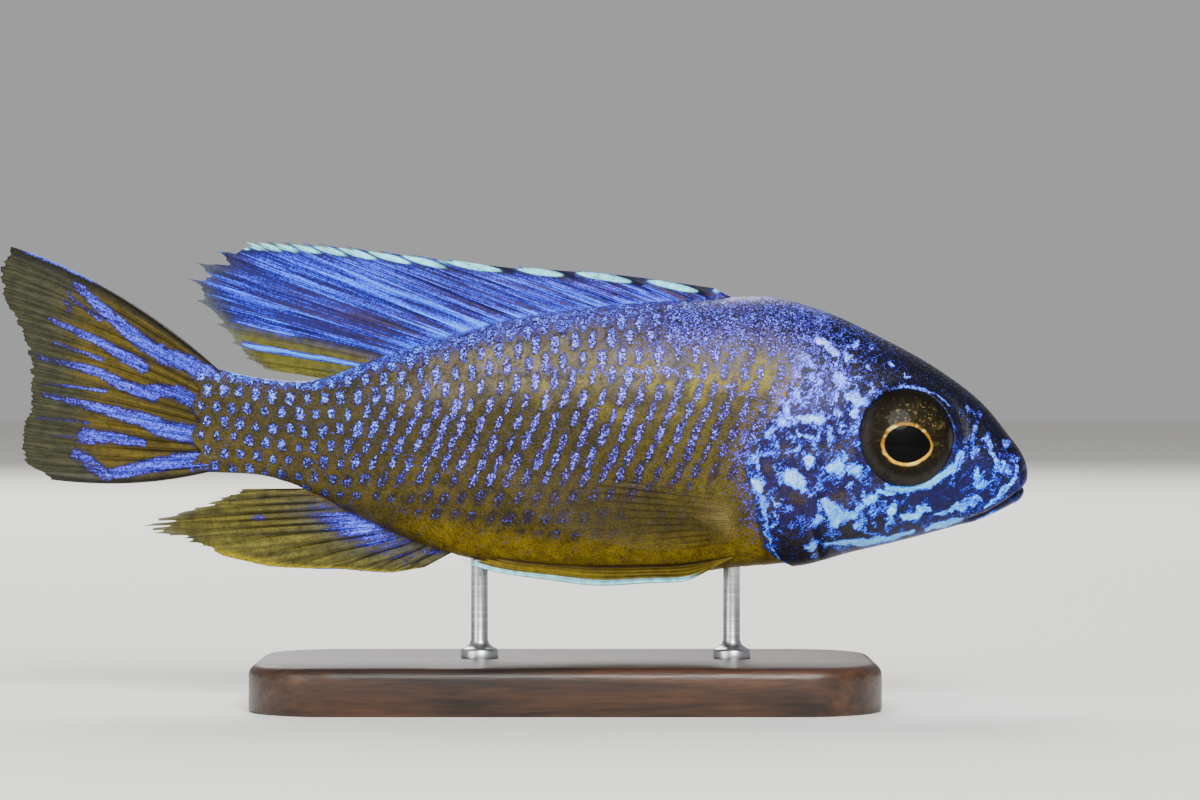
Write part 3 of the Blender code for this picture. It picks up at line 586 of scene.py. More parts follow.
STREAKS = [  # line of (column, row), half width, strength
    ([(824, 542), (840, 542), (862, 541), (890, 537), (912, 531)], 2.8, 0.84),
    ([(926, 528), (945, 523), (960, 519)], 2.8, 0.86),
    ([(982, 505), (992, 498), (1004, 487), (1012, 476), (1014, 466)], 2.0, 0.78),
    ([(978, 518), (990, 513), (1000, 508)], 1.9, 0.8),
    ([(884, 486), (905, 488), (925, 483), (940, 475), (952, 464), (958, 452)], 3.6, 0.84),
    ([(866, 410), (872, 401), (884, 392), (900, 387), (920, 389), (938, 398), (947, 407)], 1.2, 0.68),
    ([(757, 438), (755, 462), (757, 490), (763, 515), (768, 540), (776, 553)], 1.6, 0.66),
]


def ellipse_glow(distance):
    """Full in the middle of an outline, 0.9 on it and nothing beyond 1.74 of it: 1.5 - 0.6 d^1.65."""
    return np.clip(1.5 - 0.6 * distance**1.65, 0, 1.05)


def head_glow(x, z):
    """Strongest of all patches and streaks at each point, over a faint mottle. The point is first
    moved a little by two clouds, which makes the outlines ragged."""
    warp = lambda seed: 0.9 * (cloud(x, z, 1.0, seed) - 0.5) + 0.4 * (cloud(x, z, 0.4, seed + 1) - 0.5)
    off_x, off_z = warp(11), warp(13)
    ragged_x, ragged_z = x + off_x, z + off_z
    t = body_share(x, z)
    mottle = (0.4 - 0.16 * smooth(40, 46, x)) * smooth(0.4, 0.8, cloud(ragged_x, ragged_z, 0.7, 15))
    cover = smooth(44, 34, x) * smooth(0.3, 0.5, t) * smooth(0.99, 0.84, t)
    glow = 0.02 + mottle * smooth(0.9, 0.72, t)
    glow += 0.34 * cover * smooth(0.3, 0.7, cloud(ragged_x, ragged_z, 0.6, 16))
    glow -= 0.2 * smooth(0.78, 0.92, t) * (1 - 0.6 * smooth(40, 32, x))
    for column, row, long, wide, angle, strength in PATCHES:
        cx, cz = seen(column, row)
        along, up = math.cos(math.radians(angle)), math.sin(math.radians(angle))
        a = (ragged_x - cx) * along + (ragged_z - cz) * up
        b = (ragged_z - cz) * along - (ragged_x - cx) * up
        stroke = cloud(a, b * 0.25, 0.34, 20 + column % 7)
        outline = np.hypot(a / (long * UNIT), b / (wide * UNIT))
        glow = np.maximum(glow, strength * ellipse_glow(outline) * (0.74 + 0.4 * stroke))
    for line, wide, strength in STREAKS:
        away, along = from_line([seen(*p) for p in line], x + 0.3 * off_x, z + 0.3 * off_z)
        thin = wide * UNIT * (0.45 + 0.55 * np.sin(np.pi * np.clip(along, 0.08, 0.92)))
        glow = np.maximum(glow, strength * ellipse_glow(away / thin))
    return np.minimum(glow, 0.95 - 0.28 * smooth(43, 50, x))


print(len(PATCHES), "patches on the head")

# %% Ground colours and the whole of the markings
LATERAL_LINE = [seen(*p) for p in ((400, 372), (550, 378), (670, 379), (700, 385), (745, 403))]


def flank_ground(x, z):
    """Colour of the flank: gold below, olive in the middle, greyish mauve above, violet on the back."""
    t = body_share(x, z)
    mottle = cloud(x, z, 1.1, 8)
    lateral, _ = from_line(LATERAL_LINE, x, z)
    yellow = smooth(0.52, 0.66, t) * smooth(0.88, 0.72, t) * smooth(-4, 16, x)
    ground = layer(
        "8C760A", ("54480A", np.maximum(smooth(0.06, 0.2, t), smooth(-4, -14, x))),
        ("453C0C", smooth(0.3, 0.55, t)),
        ("9A9074", 0.8 * smooth(0.62, 0.8, t) * smooth(-18, -2, x) * (0.3 + 0.7 * cloud(x, z, 2.6, 3))),
        ("9A8A18", yellow * smooth(0.25, 0.7, cloud(x, z, 1.8, 4))),
        ("8A7A14", 0.5 * smooth(8, 22, x) * smooth(0.75, 0.5, t) * smooth(0.15, 0.3, t) * mottle),
        ("54466A", 0.8 * smooth(0.88, 0.97, t)),
        ("3A3068", 0.75 * smooth(4, 24, x) * smooth(0.75, 0.9, t)),
        ("2E280E", 0.6 * smooth(0.3, 0.14, lateral)),
    )
    return layer(ground, (ground * [0.6, 0.6, 0.6, 1.0], 0.6 * smooth(0.35, 0.75, mottle)))


def flank_glow(x, z):
    """Glow of the flank outside its bars: strong along the back, over the nape and in a row of dots
    above the lateral line."""
    t = body_share(x, z)
    back = -0.12 * smooth(0.3, 0.1, t) + smooth(0.88, 0.96, t) * 0.44
    nape = smooth(2, 22, x) * smooth(0.66, 0.88, t) * 0.4
    dots, _ = from_line([(x0, z0 + 0.75) for x0, z0 in LATERAL_LINE], x, z)
    row = 0.6 * smooth(0.42, 0.1, dots) * smooth(-6, 2, x) * smooth(0.4, 0.6, cloud(x, 0 * z, 0.9, 9))
    both = np.maximum(back, nape) * (0.75 + 0.5 * cloud(x, z, 0.9, 5))
    # The glow is lowered along the top edge of the back: the back is dark navy there, and part of the
    # darkening is painted shade that offsets the strong light from above.
    return np.maximum(both - 0.16 * smooth(0.9, 0.99, t) * smooth(4, 24, x), row)


def head_ground(x, z):
    """Near black on the forehead and lips, navy on the snout, plum and brown on the cheek."""
    t = body_share(x, z)
    cheek = smooth(45, 34, x) * smooth(0.88, 0.6, t)
    return layer(
        "100E4C", ("2A1E4A", cheek * (0.4 + 0.6 * cloud(x, z, 1.6, 6))),
        ("453C34", cheek * smooth(0.58, 0.8, cloud(x, z, 1.7, 7)) * 0.8),
        ("08081C", smooth(0.6, 0.8, t + 0.2 * smooth(44, 52, x))),
        ("06061A", smooth(0.84, 0.95, t)), ("1E1C20", smooth(0.2, 0.05, t) * smooth(46, 38, x)),
    )


def markings(x, z, arc):
    """The fields of the paint at any place of the body, joined along the gill cover."""
    t, side = body_share(x, z), head_side(x, z)
    ahead = smooth(-0.35, 0.2, side + 0.5 * (cloud(x, z, 0.5, 17) - 0.5))
    nape = smooth(25.0, 35.0, x + 5 * (cloud(x, z, 0.9, 18) - 0.5)) * smooth(35, 38.5, z)
    head = np.maximum(ahead * smooth(40, 37, z), nape)
    fringe = 0.42 * smooth(-4.5, -0.6, side) * smooth(0.32, 0.5, t)
    fringe = np.maximum(fringe, 0.34 * smooth(-3.0, -0.5, side) * smooth(0.05, 0.2, t))
    flank_shine = np.maximum(flank_glow(x, z), fringe * (0.5 + cloud(x, z, 0.7, 19)))
    cap = smooth(0.7, 0.85, t) * smooth(46, 28, x) * (0.24 + 0.3 * cloud(x, z, 1.1, 20))
    flank_hue = 0.1 + 0.36 * smooth(0, -20, x) + 0.2 * smooth(0.86, 0.94, t)
    head_hue = 0.3 + 0.3 * smooth(30, 42, x) + 0.4 * smooth(0.75, 0.35, t)
    return {
        "ground": layer(flank_ground(x, z), (head_ground(x, z), head)),
        "glow": flank_shine * (1 - head) + np.maximum(head_glow(x, z), cap) * head,
        "hue": np.clip(flank_hue * (1 - head) + head_hue * head, 0, 1), **bar_fields(x, z, arc, head),
    }


# %% [markdown]
# The skin is a grid of rings, close together over the head where the forms are fine. Gill cover,
# eye socket, lips, nostril and the groove before the gill cover are heights added along the normal.

# %% The head's forms
EYE_AT, EYE_RADIUS, EYE_DEPTH, EYE_SUNK = (41.8, 28.6), 5.2, 2.5, 0.75
EYE_LOOK_AHEAD, EYE_LOOK_UP = math.radians(11), math.radians(7)
GAPE = [seen(*p) for p in ((940, 526), (968, 519), (986, 512), (1004, 501), (1018, 491), (1034, 478))]
MOUTH_CORNER = GAPE[1][0]
NOSTRIL, NECK = (48.9, 27.9), 23.0
GILL_LIFT = [(14.0, 0.3), (16.0, 0.5), (29.0, 0.5), (33.5, 0.0), (44.0, 0.0)]
CHEEK_GROOVE = [seen(822, 436), seen(817, 470), seen(812, 500), seen(810, 530), seen(818, 552)]
PORES = ((978, 480), (966, 500), (950, 508), (921, 509), (888, 507), (858, 524), (970, 452), (1002, 470))


def eye_frame(side):
    """Centre of an eye and the three directions ahead, up and out of it."""
    level = math.cos(EYE_LOOK_AHEAD) * math.cos(EYE_LOOK_UP)
    out = np.array([math.sin(EYE_LOOK_AHEAD), side * level, math.sin(EYE_LOOK_UP)])
    out /= np.linalg.norm(out)
    ahead = np.array([1.0, 0, 0]) - out[0] * out
    ahead /= np.linalg.norm(ahead)
    up = np.cross(out, ahead) * (-side)
    skin_at = np.array([EYE_AT[0], side * float(half_width_at(*EYE_AT)), EYE_AT[1]])
    return skin_at - out * EYE_SUNK, ahead, up, out


def eye_distance(points):
    """Distance of each point from the line of sight of the eye on its own side."""
    best = np.full(points.shape[:-1], 1e9)
    for side in (-1, 1):
        centre, ahead, up, _ = eye_frame(side)
        radius = np.hypot((points - centre) @ ahead, (points - centre) @ up)
        best = np.where(points[..., 1] * side > 0, radius, best)
    return best


def from_gape(x, z):
    """Signed distance above the line where the lips meet."""
    away, _ = from_line(GAPE, x, z)
    return away * np.sign(z - np.interp(x, *np.array(GAPE).T))


def head_relief(points):
    """Height of the head's forms over the plain loft, in mm: a sum of steps and bells."""
    x, z = points[..., 0], points[..., 2]
    ahead, from_eye, over = head_side(x, z), eye_distance(points), from_gape(x, z)
    height = through(GILL_LIFT, z) * smooth(-0.12, 0.12, ahead) * smooth(9, 0, ahead)
    height -= 0.2 * bell(from_line(CHEEK_GROOVE, x, z)[0], 0.45)
    height += 0.16 * bell(from_eye - 5.3, 0.3) - 0.1 * bell(from_eye - 6.3, 0.6)
    height -= 2.4 * smooth(5.05, 4.6, from_eye)
    lips = 0.26 * bell(over - 0.62, 0.42) + 0.2 * bell(over + 0.5, 0.34)
    folds = 0.12 * bell(over - 1.5, 0.22) + 0.1 * bell(over + 1.15, 0.2)
    mouth = smooth(MOUTH_CORNER - 1.2, MOUTH_CORNER + 0.6, x) * smooth(55.3, 53.6, x)
    height += mouth * (lips - folds - 0.5 * bell(over, 0.16))
    height -= 0.45 * bell(over, 0.18) * smooth(53.2, 54.0, x)
    nostril = np.hypot(x - NOSTRIL[0], z - NOSTRIL[1])
    height += 0.1 * bell(nostril - 0.6, 0.25) - 0.5 * bell(nostril, 0.34)
    for px, pz in (seen(*pore) for pore in PORES):
        height -= 0.16 * bell(np.hypot(x - px, z - pz), 0.5)
    return height * smooth(NECK, NECK + 1.5, x)


print("the right eye sits at", eye_frame(-1)[0].round(1), "mm")

# %% The skin's rings
HALF_RING, TIP_RINGS, HEAD_RINGS, FLANK_RINGS = 128, 20, 196, 150
closing = SNOUT_TIP - (SNOUT_TIP - SNOUT_START) * (1 - np.cos(np.linspace(0.09, np.pi / 2, TIP_RINGS)))
stations = np.concatenate([
    closing, np.linspace(SNOUT_START, NECK, HEAD_RINGS)[1:], np.linspace(NECK, TAIL_END, FLANK_RINGS)[1:],
])
turn = np.concatenate([np.linspace(0, 1, HALF_RING + 1), np.linspace(1, 0, HALF_RING + 1)[1:-1]])
side = np.where(np.arange(2 * HALF_RING) <= HALF_RING, -1.0, 1.0)
station, around = np.meshgrid(stations, turn, indexing="ij")
wide, height = flank(station, around)
plain = np.stack([station, bend(station) + side * wide, height], -1)
outward = normals(plain, around=True)
middle = np.stack(np.broadcast_arrays(station, bend(station), height.mean(1, keepdims=True)), -1)
if np.sum(outward * (plain - middle)) < 0:
    outward = -outward
skin_points = plain + outward * head_relief(plain)[..., None]
print(station.size, "points in the skin's rings")

# %% The skin's colours
one_side = slice(HALF_RING + 1)
ring_step = np.hypot(np.diff(wide[:, one_side], axis=1), np.diff(height[:, one_side], axis=1))
ring_arc = np.concatenate([np.zeros((len(stations), 1)), np.cumsum(ring_step, 1)], 1)
ring_arc = np.concatenate([ring_arc, ring_arc[:, -2:0:-1]], 1)
ring_arc = ring_arc - np.interp(stations, TABLE_X, to_back)[:, None]
fields = markings(station, height, ring_arc)
# Painted shade: the skin in the gap round the eye's edge is painted near black and loses its glow.
socket_shade = smooth(5.12, 4.95, eye_distance(plain)) * (station > 30)
# Painted shade: the line where the lips meet is painted black along the gape, over the shallow groove of
# the mesh.
gape_shade = smooth(0.28, 0.12, np.abs(from_gape(station, height)))
gape_shade = gape_shade * smooth(MOUTH_CORNER - 0.6, MOUTH_CORNER + 0.6, station)
fields["ground"] = layer(fields["ground"], ("14131C", socket_shade), ("050508", gape_shade))
fields["glow"] = fields["glow"] * (1 - socket_shade) * (1 - gape_shade)
flat_fields = {
    name: np.concatenate([f.reshape(-1, *f.shape[2:]), f[0, :1], f[-1, :1]]) for name, f in fields.items()
}

print("fields on the skin:", ", ".join(flat_fields))

# %% The skin
BAKE_MARGIN = 0.02


def unwrap(x, share):
    """Place on the bake map: along the body, and once round it from the back."""
    along = (x - TAIL_END) / (SNOUT_TIP - TAIL_END)
    return BAKE_MARGIN + (1 - 2 * BAKE_MARGIN) * np.stack(np.broadcast_arrays(along, share), -1)


rows, cols = station.shape
faces, corner = grid_faces(rows, cols, around=True)
points = np.concatenate([skin_points.reshape(-1, 3), [[SNOUT_TIP, 0, SNOUT_HEIGHT], middle[-1, 0]]])
bake = unwrap(stations[corner[..., 0]], corner[..., 1] / cols)[:, ::-1]
here, half_way, following = ((np.arange(cols) + k) / cols for k in (0, 0.5, 1))
front, rear = fans(rows, cols)
front_bake = np.stack([
    unwrap(SNOUT_TIP, half_way), unwrap(stations[0], following), unwrap(stations[0], here),
], 1)
rear_bake = np.stack([
    unwrap(TAIL_END, half_way), unwrap(stations[-1], here), unwrap(stations[-1], following),
], 1)
all_faces = [*faces[:, ::-1].tolist(), *front.tolist(), *rear.tolist()]
all_bake = np.concatenate([part.reshape(-1, 2) for part in (bake, front_bake, rear_bake)])
skin = make("skin", points, all_faces, skin_paint, flat_fields, all_bake)
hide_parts("head", "torso", "tail_root")

# %% [markdown]
# A scale is a thin bent plate: its front edge is sunk in the skin and its rounded rear edge stands
# free, a little over the scale behind. All plates of a side are worked out at once, as one array,
# and make one mesh.

# %% One scale's faces
S, W = np.meshgrid(np.linspace(0, 1, 6), np.linspace(-1, 1, 6), indexing="ij")


def plate_rim(r, c):
    """Corner numbers round the edge of a grid of r by c points."""
    down, across = np.arange(1, r) * c, np.arange(c)
    return np.concatenate([across, down + c - 1, (r - 1) * c + across[-2::-1], down[-2::-1]])


def band(rim, other):
    """Faces between two rims of equally many points."""
    return np.stack([rim, np.roll(rim, -1), np.roll(other, -1), other], 1)


rim = plate_rim(*S.shape)
under_rim = S.size + np.arange(len(rim))
plate_quads = np.concatenate([grid_faces(*S.shape)[0][:, ::-1], band(rim, under_rim)])
print(len(plate_quads) + 1, "faces in a scale")

# %% The scales
PLATE_LENGTH, PLATE_THICKNESS, PATCH_SIZE = 1.5, 0.03, 0.003


def scale_coat(name, side):
    """Every scale of one side as one mesh. In a scale, S runs from its sunk front edge to its free
    rear edge and W across it. The plate is PLATE_LENGTH steps long, its rear edge is the curve
    1 - 0.42 W^2, and it rises by 0.085 S from under the skin. Its under side is one flat face."""
    n = len(seats)
    x0, arc0, long, high = (seats[:, k, None, None] for k in range(4))
    x = x0 + 0.75 * long + rng.normal(0, 0.04, (n, 1, 1)) - S * PLATE_LENGTH * long * (1 - 0.42 * W**2)
    arc = arc0 + W * high * 0.98 * (0.86 + 0.14 * S)
    half_width, z = on_flank(x, arc)
    lift = -0.035 + (0.085 + rng.normal(0, 0.006, (n, 1, 1))) * S - 0.02 * W**2
    plain = np.stack([x, bend(x) + side * half_width, z], -1)
    ahead_w, ahead_z = on_flank(x + 0.1, arc)
    below_w, below_z = on_flank(x, arc + 0.1)
    back_w, back_z = on_flank(x, arc - 0.1)
    sway = bend(x + 0.1) - bend(x)
    along = np.stack([np.full_like(x, 0.1), sway + side * (ahead_w - half_width), ahead_z - z], -1)
    across = np.stack([np.zeros_like(x), side * (below_w - back_w), below_z - back_z], -1)
    out = np.cross(along, across) * side
    out /= np.maximum(np.linalg.norm(out, axis=-1, keepdims=True), 1e-9)
    out = np.where((out[..., 1] * side < 0)[..., None], -out, out)
    top = (plain + out * lift[..., None]).reshape(n, -1, 3)
    under = top[:, rim] - PLATE_THICKNESS * out.reshape(n, -1, 3)[:, rim]
    first = np.arange(n)[:, None, None] * (S.size + len(rim))
    quads, lid = (plate_quads, under_rim) if side < 0 else (plate_quads[:, ::-1], under_rim[::-1])
    faces = [*(quads + first).reshape(-1, 4).tolist(), *(lid + first[:, 0]).tolist()]
    fields = {}
    for key, f in markings(x, z, arc).items():
        face = f.reshape(n, S.size, -1)
        fields[key] = np.concatenate([face, face[:, rim]], 1).reshape(-1, face.shape[-1]).squeeze()
    from_back = np.clip(arc0 + np.interp(x0, TABLE_X, to_back), 0, None)
    share = 0.5 * np.clip(from_back / np.interp(x0, TABLE_X, to_back + to_belly), 0, 1)
    seat = unwrap(x0[:, 0, 0], (share if side < 0 else 1 - share)[:, 0, 0])
    patch = np.stack([0.5 - S.ravel(), W.ravel() / 2], -1) * PATCH_SIZE
    patch = np.concatenate([patch, patch[rim]])
    bake = [(seat[:, None] + patch[corners.ravel()]).reshape(-1, 2) for corners in (quads, lid)]
    points = np.concatenate([top, under], 1).reshape(-1, 3)
    piece = make(name, points, faces, scale_paint, fields, np.concatenate(bake))
    piece.data.set_sharp_from_angle(angle=math.radians(40))


scale_coat("scales_right", -1)
scale_coat("scales_left", 1)

# %% [markdown]
# A fin is one thin sheet held up by rays. Each ray is a ridge on both faces, it thins towards its
# tip, and a soft ray splits in two and again in four on the way. The sheet is drawn in between
# the tips. A fin's colours follow its rays, so its material stretches the grain along them.

# %% A fin from its rays
ROOT_SUNK = 0.25

def edge_at(points, u):
    """Place on a fin's outer edge, each coordinate a smooth curve through the points."""
    table = np.array(points, float)
    return [through(table[:, [0, k]], u) for k in range(1, table.shape[1])]


def on_rays(x0, z0, edge, u, v):
    """Place at share v of straight rays that run from (x0, z0) to a fin's outer edge."""
    x1, z1 = edge_at(edge, u)
    return x0 + (x1 - x0) * v, z0 + (z1 - z0) * v


def ridges(ray, v, branch=True):
    """Height of the rays over the membrane, 0 to 1: a bell round each ray's middle. From 30 % of its
    length a branching ray parts in two, from 62 % in four."""
    off = ray - np.round(ray)
    stem = bell(off, 0.13)
    if not branch:
        return stem
    two, four = 0.24 * smooth(0.3, 1.0, v), 0.11 * smooth(0.62, 1.0, v)
    parted = sum(bell(off - a * two - b * four, 0.075) for a in (-1, 1) for b in (-1, 1))
    return stem * smooth(0.75, 0.35, v) + np.clip(parted, 0, 1) * 0.75


def fringe(ray, deep, fine, seed):
    """Where the edge lies on each ray, as a share of its length: 1 - deep |sin(pi r)|^0.7 between rays,
    less a notch between a ray's three branches, whose depth is random up to fine."""
    branch = ray * 3
    each = cloud(np.floor(branch), 0 * ray, 1.0, seed)
    between = np.abs(np.sin(np.pi * branch)) ** 0.6
    return 1 - deep * np.abs(np.sin(np.pi * ray)) ** 0.7 - fine * each * (0.4 + 0.6 * between)


def fin(name, rays, per_ray, rows, place, look, tint, edge, branch=True, thick=0.85, root_thick=1.0):
    """A fin's two faces and its rim. place(u, v) is the middle of the sheet, edge(ray, u) is how much
    of its length each ray has, tint(u, v, x, z, ray) gives ground, glow, hue and how solid it is. The
    thickness is that of the rays and the membrane between, times 1 - 0.72 v^3 towards the edge."""
    last = rays - 1
    R, V = np.meshgrid(np.linspace(0, last, last * per_ray + 1), np.linspace(0, 1, rows), indexing="ij")
    U = R / last
    v = V * edge(R, U)
    x, y, z = place(U, v)
    sheet = np.stack([x, y, z], -1)
    out = normals(sheet)
    if out[..., 1].mean() > 0:
        out = -out
    bulk = 0.5 + 0.5 * ridges(R, V, branch) * smooth(0.0, 0.2, V)
    bulk = bulk * (1 - 0.72 * V**3) * (1 + (root_thick - 1) * (1 - V) ** 6)
    bulk = (np.maximum(bulk, 0.12) * thick / 2)[..., None]
    points = np.concatenate([(sheet + out * bulk).reshape(-1, 3), (sheet - out * bulk).reshape(-1, 3)])
    face, rim = grid_faces(*R.shape)[0], plate_rim(*R.shape)
    shell = np.concatenate([face[:, ::-1], face + R.size, band(rim, rim + R.size)])
    a, b, c = (points[shell[: len(face), k]] for k in range(3))
    if np.cross(b - a, c - a)[:, 1].sum() > 0:
        shell = shell[:, ::-1]
    flat = [values.reshape(R.size, -1).squeeze() for values in tint(U, v, x, z, R)]
    fields = {key: np.concatenate([f, f]) for key, f in zip(("ground", "glow", "hue", "solid"), flat)}
    piece = make(name, points, shell.tolist(), look, fields)
    uv = np.stack([np.tile(U.ravel(), 2), np.tile(V.ravel(), 2)], -1)[shell.ravel()]
    piece.data.uv_layers.new(name="rays").data.foreach_set("uv", uv.astype(np.float32).ravel())
    return piece


# %% [markdown]
# The dorsal fin runs from behind the head to the tail's root. Its upper edge is a row of pale
# lappets laid one behind the other, with dark spots between those in front. The middle is deep blue
# streaked along the rays, and the last soft rays are olive and clear.

# %% The dorsal fin's edge
DORSAL_RAYS, DORSAL_FRONT, DORSAL_REAR = 24, 24.0, -19.4
DORSAL_EDGE = [
    (0, 21.8, 44.3), (3, 10.9, 45.8), (7, -2.4, 46.9), (10, -12.9, 48.2), (13, -21.7, 49.2),
    (15, -29.3, 49.5), (16, -31.5, 48.4), (18, -34.7, 45.5), (20, -31.5, 40.6),
    (22, -28.4, 36.9), (23, -26.3, 35.8),
]
LAPPET_TIPS = np.array([
    seen(c, 0)[0] for c in (742, 713, 647, 576, 517, 446, 410, 376, 345, 318, 296, 278, 262, 248, 237)
])
dorsal_line = np.stack(edge_at(DORSAL_EDGE, np.linspace(0, 16.5, 90)), -1)


def dorsal_place(u, v):
    """From the back's line to the fin's edge along straight rays, with a slight sway to the tips."""
    x0 = DORSAL_FRONT + (DORSAL_REAR - DORSAL_FRONT) * u
    x, z = on_rays(x0, through(BACK, x0) - ROOT_SUNK, DORSAL_EDGE, u * (DORSAL_RAYS - 1), v)
    return x, bend(x) + 0.5 * np.sin(2.2 * np.pi * u) * v * v, z


def lappet(x):
    """Number of lappets in front of x, with the share of the last one as its fraction."""
    return np.interp(-x, -LAPPET_TIPS, np.arange(len(LAPPET_TIPS)))


def dorsal_edge(ray, u):
    """Behind each tip the edge steps down by 0.075 (1 - way)^0.8 of a ray; behind ray 15.8 the soft
    rays are free."""
    x1, _ = edge_at(DORSAL_EDGE, ray)
    step = 0.075 * (1 - lappet(x1) % 1.0) ** 0.8 * smooth(0.05, 0.3, u)
    return np.where(ray < 15.8, 1 - step, fringe(ray, 0.06, 0.05, 22))


def lens(inside, share, start, half):
    """A pale lens along the fin's edge: its middle lies start mm inside the edge at share 0 and comes
    out to 0.25 mm at share 1, and its half thickness is half sin(pi share)^0.6."""
    middle = start + (0.25 - start) * share
    thick = half * np.sin(np.pi * np.clip(share, 0.001, 0.999)) ** 0.6
    return smooth(thick + 0.1, thick - 0.08, np.abs(inside - middle)) * (share > 0.02) * (share < 0.98)


def lappets(x, z):
    """How pale and how dark the edge is. Behind count 5 the lappets lie close, each over the next. In
    front of it they are twice as long, and a dark spot fills the gap behind each tip."""
    inside, _ = from_line(dorsal_line, x, z)
    count = lappet(x)
    way, long = count % 1.0, smooth(5.4, 4.8, count)
    close = np.maximum(lens(inside, way / 1.25, 0.95, 0.34), lens(inside, (way + 1) / 1.25, 0.95, 0.34))
    pale = long * lens(inside, (way - 0.22) / 0.78, 0.62, 0.36) + (1 - long) * close
    spot = smooth(1.05, 0.75, inside) * smooth(0.5, 0.36, way) * smooth(0.0, 0.06, way)
    return pale, np.maximum(long * spot, 0.3 * smooth(1.5, 1.0, inside))


print(len(LAPPET_TIPS), "lappets on the dorsal fin's edge")

# %% The dorsal fin


def dorsal_tint(u, v, x, z, ray):
    """Blue with strokes along the rays, speckled and plum-brown near the back, olive at the rear."""
    streak, wide_streak = cloud(u * 70, v * 2.2, 1.0, 31), cloud(u * 26, v * 1.4, 1.0, 32)
    front, rear = smooth(0.62, 0.2, u), smooth(0.83, 0.9, u)
    brown = smooth(0.8, 0.3, v) * (0.3 + 0.55 * front)
    brown = brown * smooth(0.35, 0.7, cloud(u * 46, v * 1.6, 1.0, 33))
    glow = 0.22 + 0.06 * front - 0.05 * smooth(0.5, 0.8, u) + 0.32 * streak + 0.1 * wide_streak
    glow += 0.1 * bell(ray - np.round(ray), 0.16) + 0.16 * smooth(0.16, 0.0, v) - 0.14 * brown
    glow = (glow - 0.16 * smooth(0.8, 1.0, v) * smooth(0.5, 0.7, u)) * (1 - 0.75 * rear)
    hue = 0.46 + 0.32 * smooth(0.3, 0.8, u) + 0.3 * (wide_streak - 0.5)
    thin_ray = 0.8 * bell(ray - 19.6, 0.16) * smooth(0.3, 0.6, v)
    cyan_ray = np.maximum(bell(ray - 21.0, 0.28), thin_ray) * smooth(0.98, 0.85, v)
    glow, hue = np.maximum(glow, 0.8 * cyan_ray), np.maximum(hue, 0.9 * cyan_ray)
    spiny = smooth(0.72, 0.66, u) * smooth(0.2, 1.2, lappet(x))
    pale, dark = (share * spiny for share in lappets(x, z))
    tips = smooth(0.78, 1.0, v) * smooth(0.66, 0.78, u)
    ground = layer(
        "100E44", ("221C6A", wide_streak), ("5E424A", brown), ("5E5A18", rear), ("0A0C2E", dark),
        ("8CF0FF", pale), ("5A6458", 0.6 * tips),
    )
    glow = glow * (1 - 0.85 * dark) * (1 - pale) * (1 - 0.45 * tips)
    return ground, glow, np.clip(hue, 0, 1), 1 - 0.5 * tips - 0.1 * rear


dorsal = fin("dorsal", DORSAL_RAYS, 14, 90, dorsal_place, fin_paint, dorsal_tint, dorsal_edge, branch=False)
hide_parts("dorsal_fin")

# %% [markdown]
# The tail fin is golden brown. Blue bands run along its rays from the root, some break up into
# thin lines towards the rim, and the outermost part is clear and grey with fine branched rays.

# %% The tail fin
TAIL_RAYS = 17
TAIL_EDGE = [
    (0.0, -53.6, 48.9), (0.1, -55.0, 46.4), (0.2, -54.6, 43.6), (0.35, -52.6, 39.5),
    (0.5, -51.7, 35.8), (0.65, -51.7, 32.3), (0.8, -52.6, 29.0), (0.9, -52.6, 26.5),
    (1.0, -49.3, 23.9),
]
TAIL_TOP_BOW, TAIL_BOTTOM_BOW = 1.6, -0.9
BANDS = [  # line of (column, row), half width at the start and at the end, strength
    ([(72, 283), (90, 300), (115, 322), (140, 342), (160, 355), (185, 363), (205, 375), (216, 388)],
     3.2, 7.5, 0.58),
    ([(45, 318), (75, 332), (100, 343), (115, 353), (140, 366)], 1.6, 5.0, 0.56),
    ([(50, 342), (75, 351), (98, 359)], 1.2, 1.6, 0.5),
    ([(32, 357), (60, 363), (95, 372), (120, 385), (150, 395)], 1.8, 5.0, 0.56),
    ([(146, 390), (175, 392), (192, 402), (205, 416)], 4.5, 5.5, 0.52),
    ([(35, 384), (65, 386), (102, 391)], 1.1, 1.6, 0.5),
    ([(38, 394), (75, 403), (110, 412), (140, 420), (165, 430), (200, 436)], 1.8, 7.5, 0.58),
    ([(30, 418), (60, 420), (85, 423)], 1.0, 1.3, 0.46),
    ([(80, 437), (110, 438), (140, 443)], 5.8, 3.0, 0.54),
    ([(73, 455), (85, 464), (102, 476)], 5.0, 5.0, 0.54),
    ([(102, 476), (140, 468), (180, 461), (210, 461)], 4.0, 7.0, 0.56),
    ([(60, 285), (70, 300), (97, 318)], 1.0, 2.2, 0.44),
    ([(22, 352), (40, 356)], 1.0, 1.0, 0.4),
    ([(48, 436), (70, 437)], 0.9, 1.1, 0.4),
    ([(60, 300), (66, 306), (64, 314)], 1.6, 1.6, 0.46),
]


def tail_place(u, v):
    """Straight rays from the peduncle to the rim, bowed outwards by 4 b v (1 - v)."""
    top, bottom = through(BACK, TAIL_END), through(BELLY, TAIL_END)
    x, z = on_rays(TAIL_END + 0.5, top - 0.35 + (bottom - top + 0.7) * u, TAIL_EDGE, u, v)
    bow = TAIL_TOP_BOW + (TAIL_BOTTOM_BOW - TAIL_TOP_BOW) * u
    return x, bend(x) - 0.8 * (2 * u - 1) ** 2 * v, z + 4 * bow * v * (1 - v)


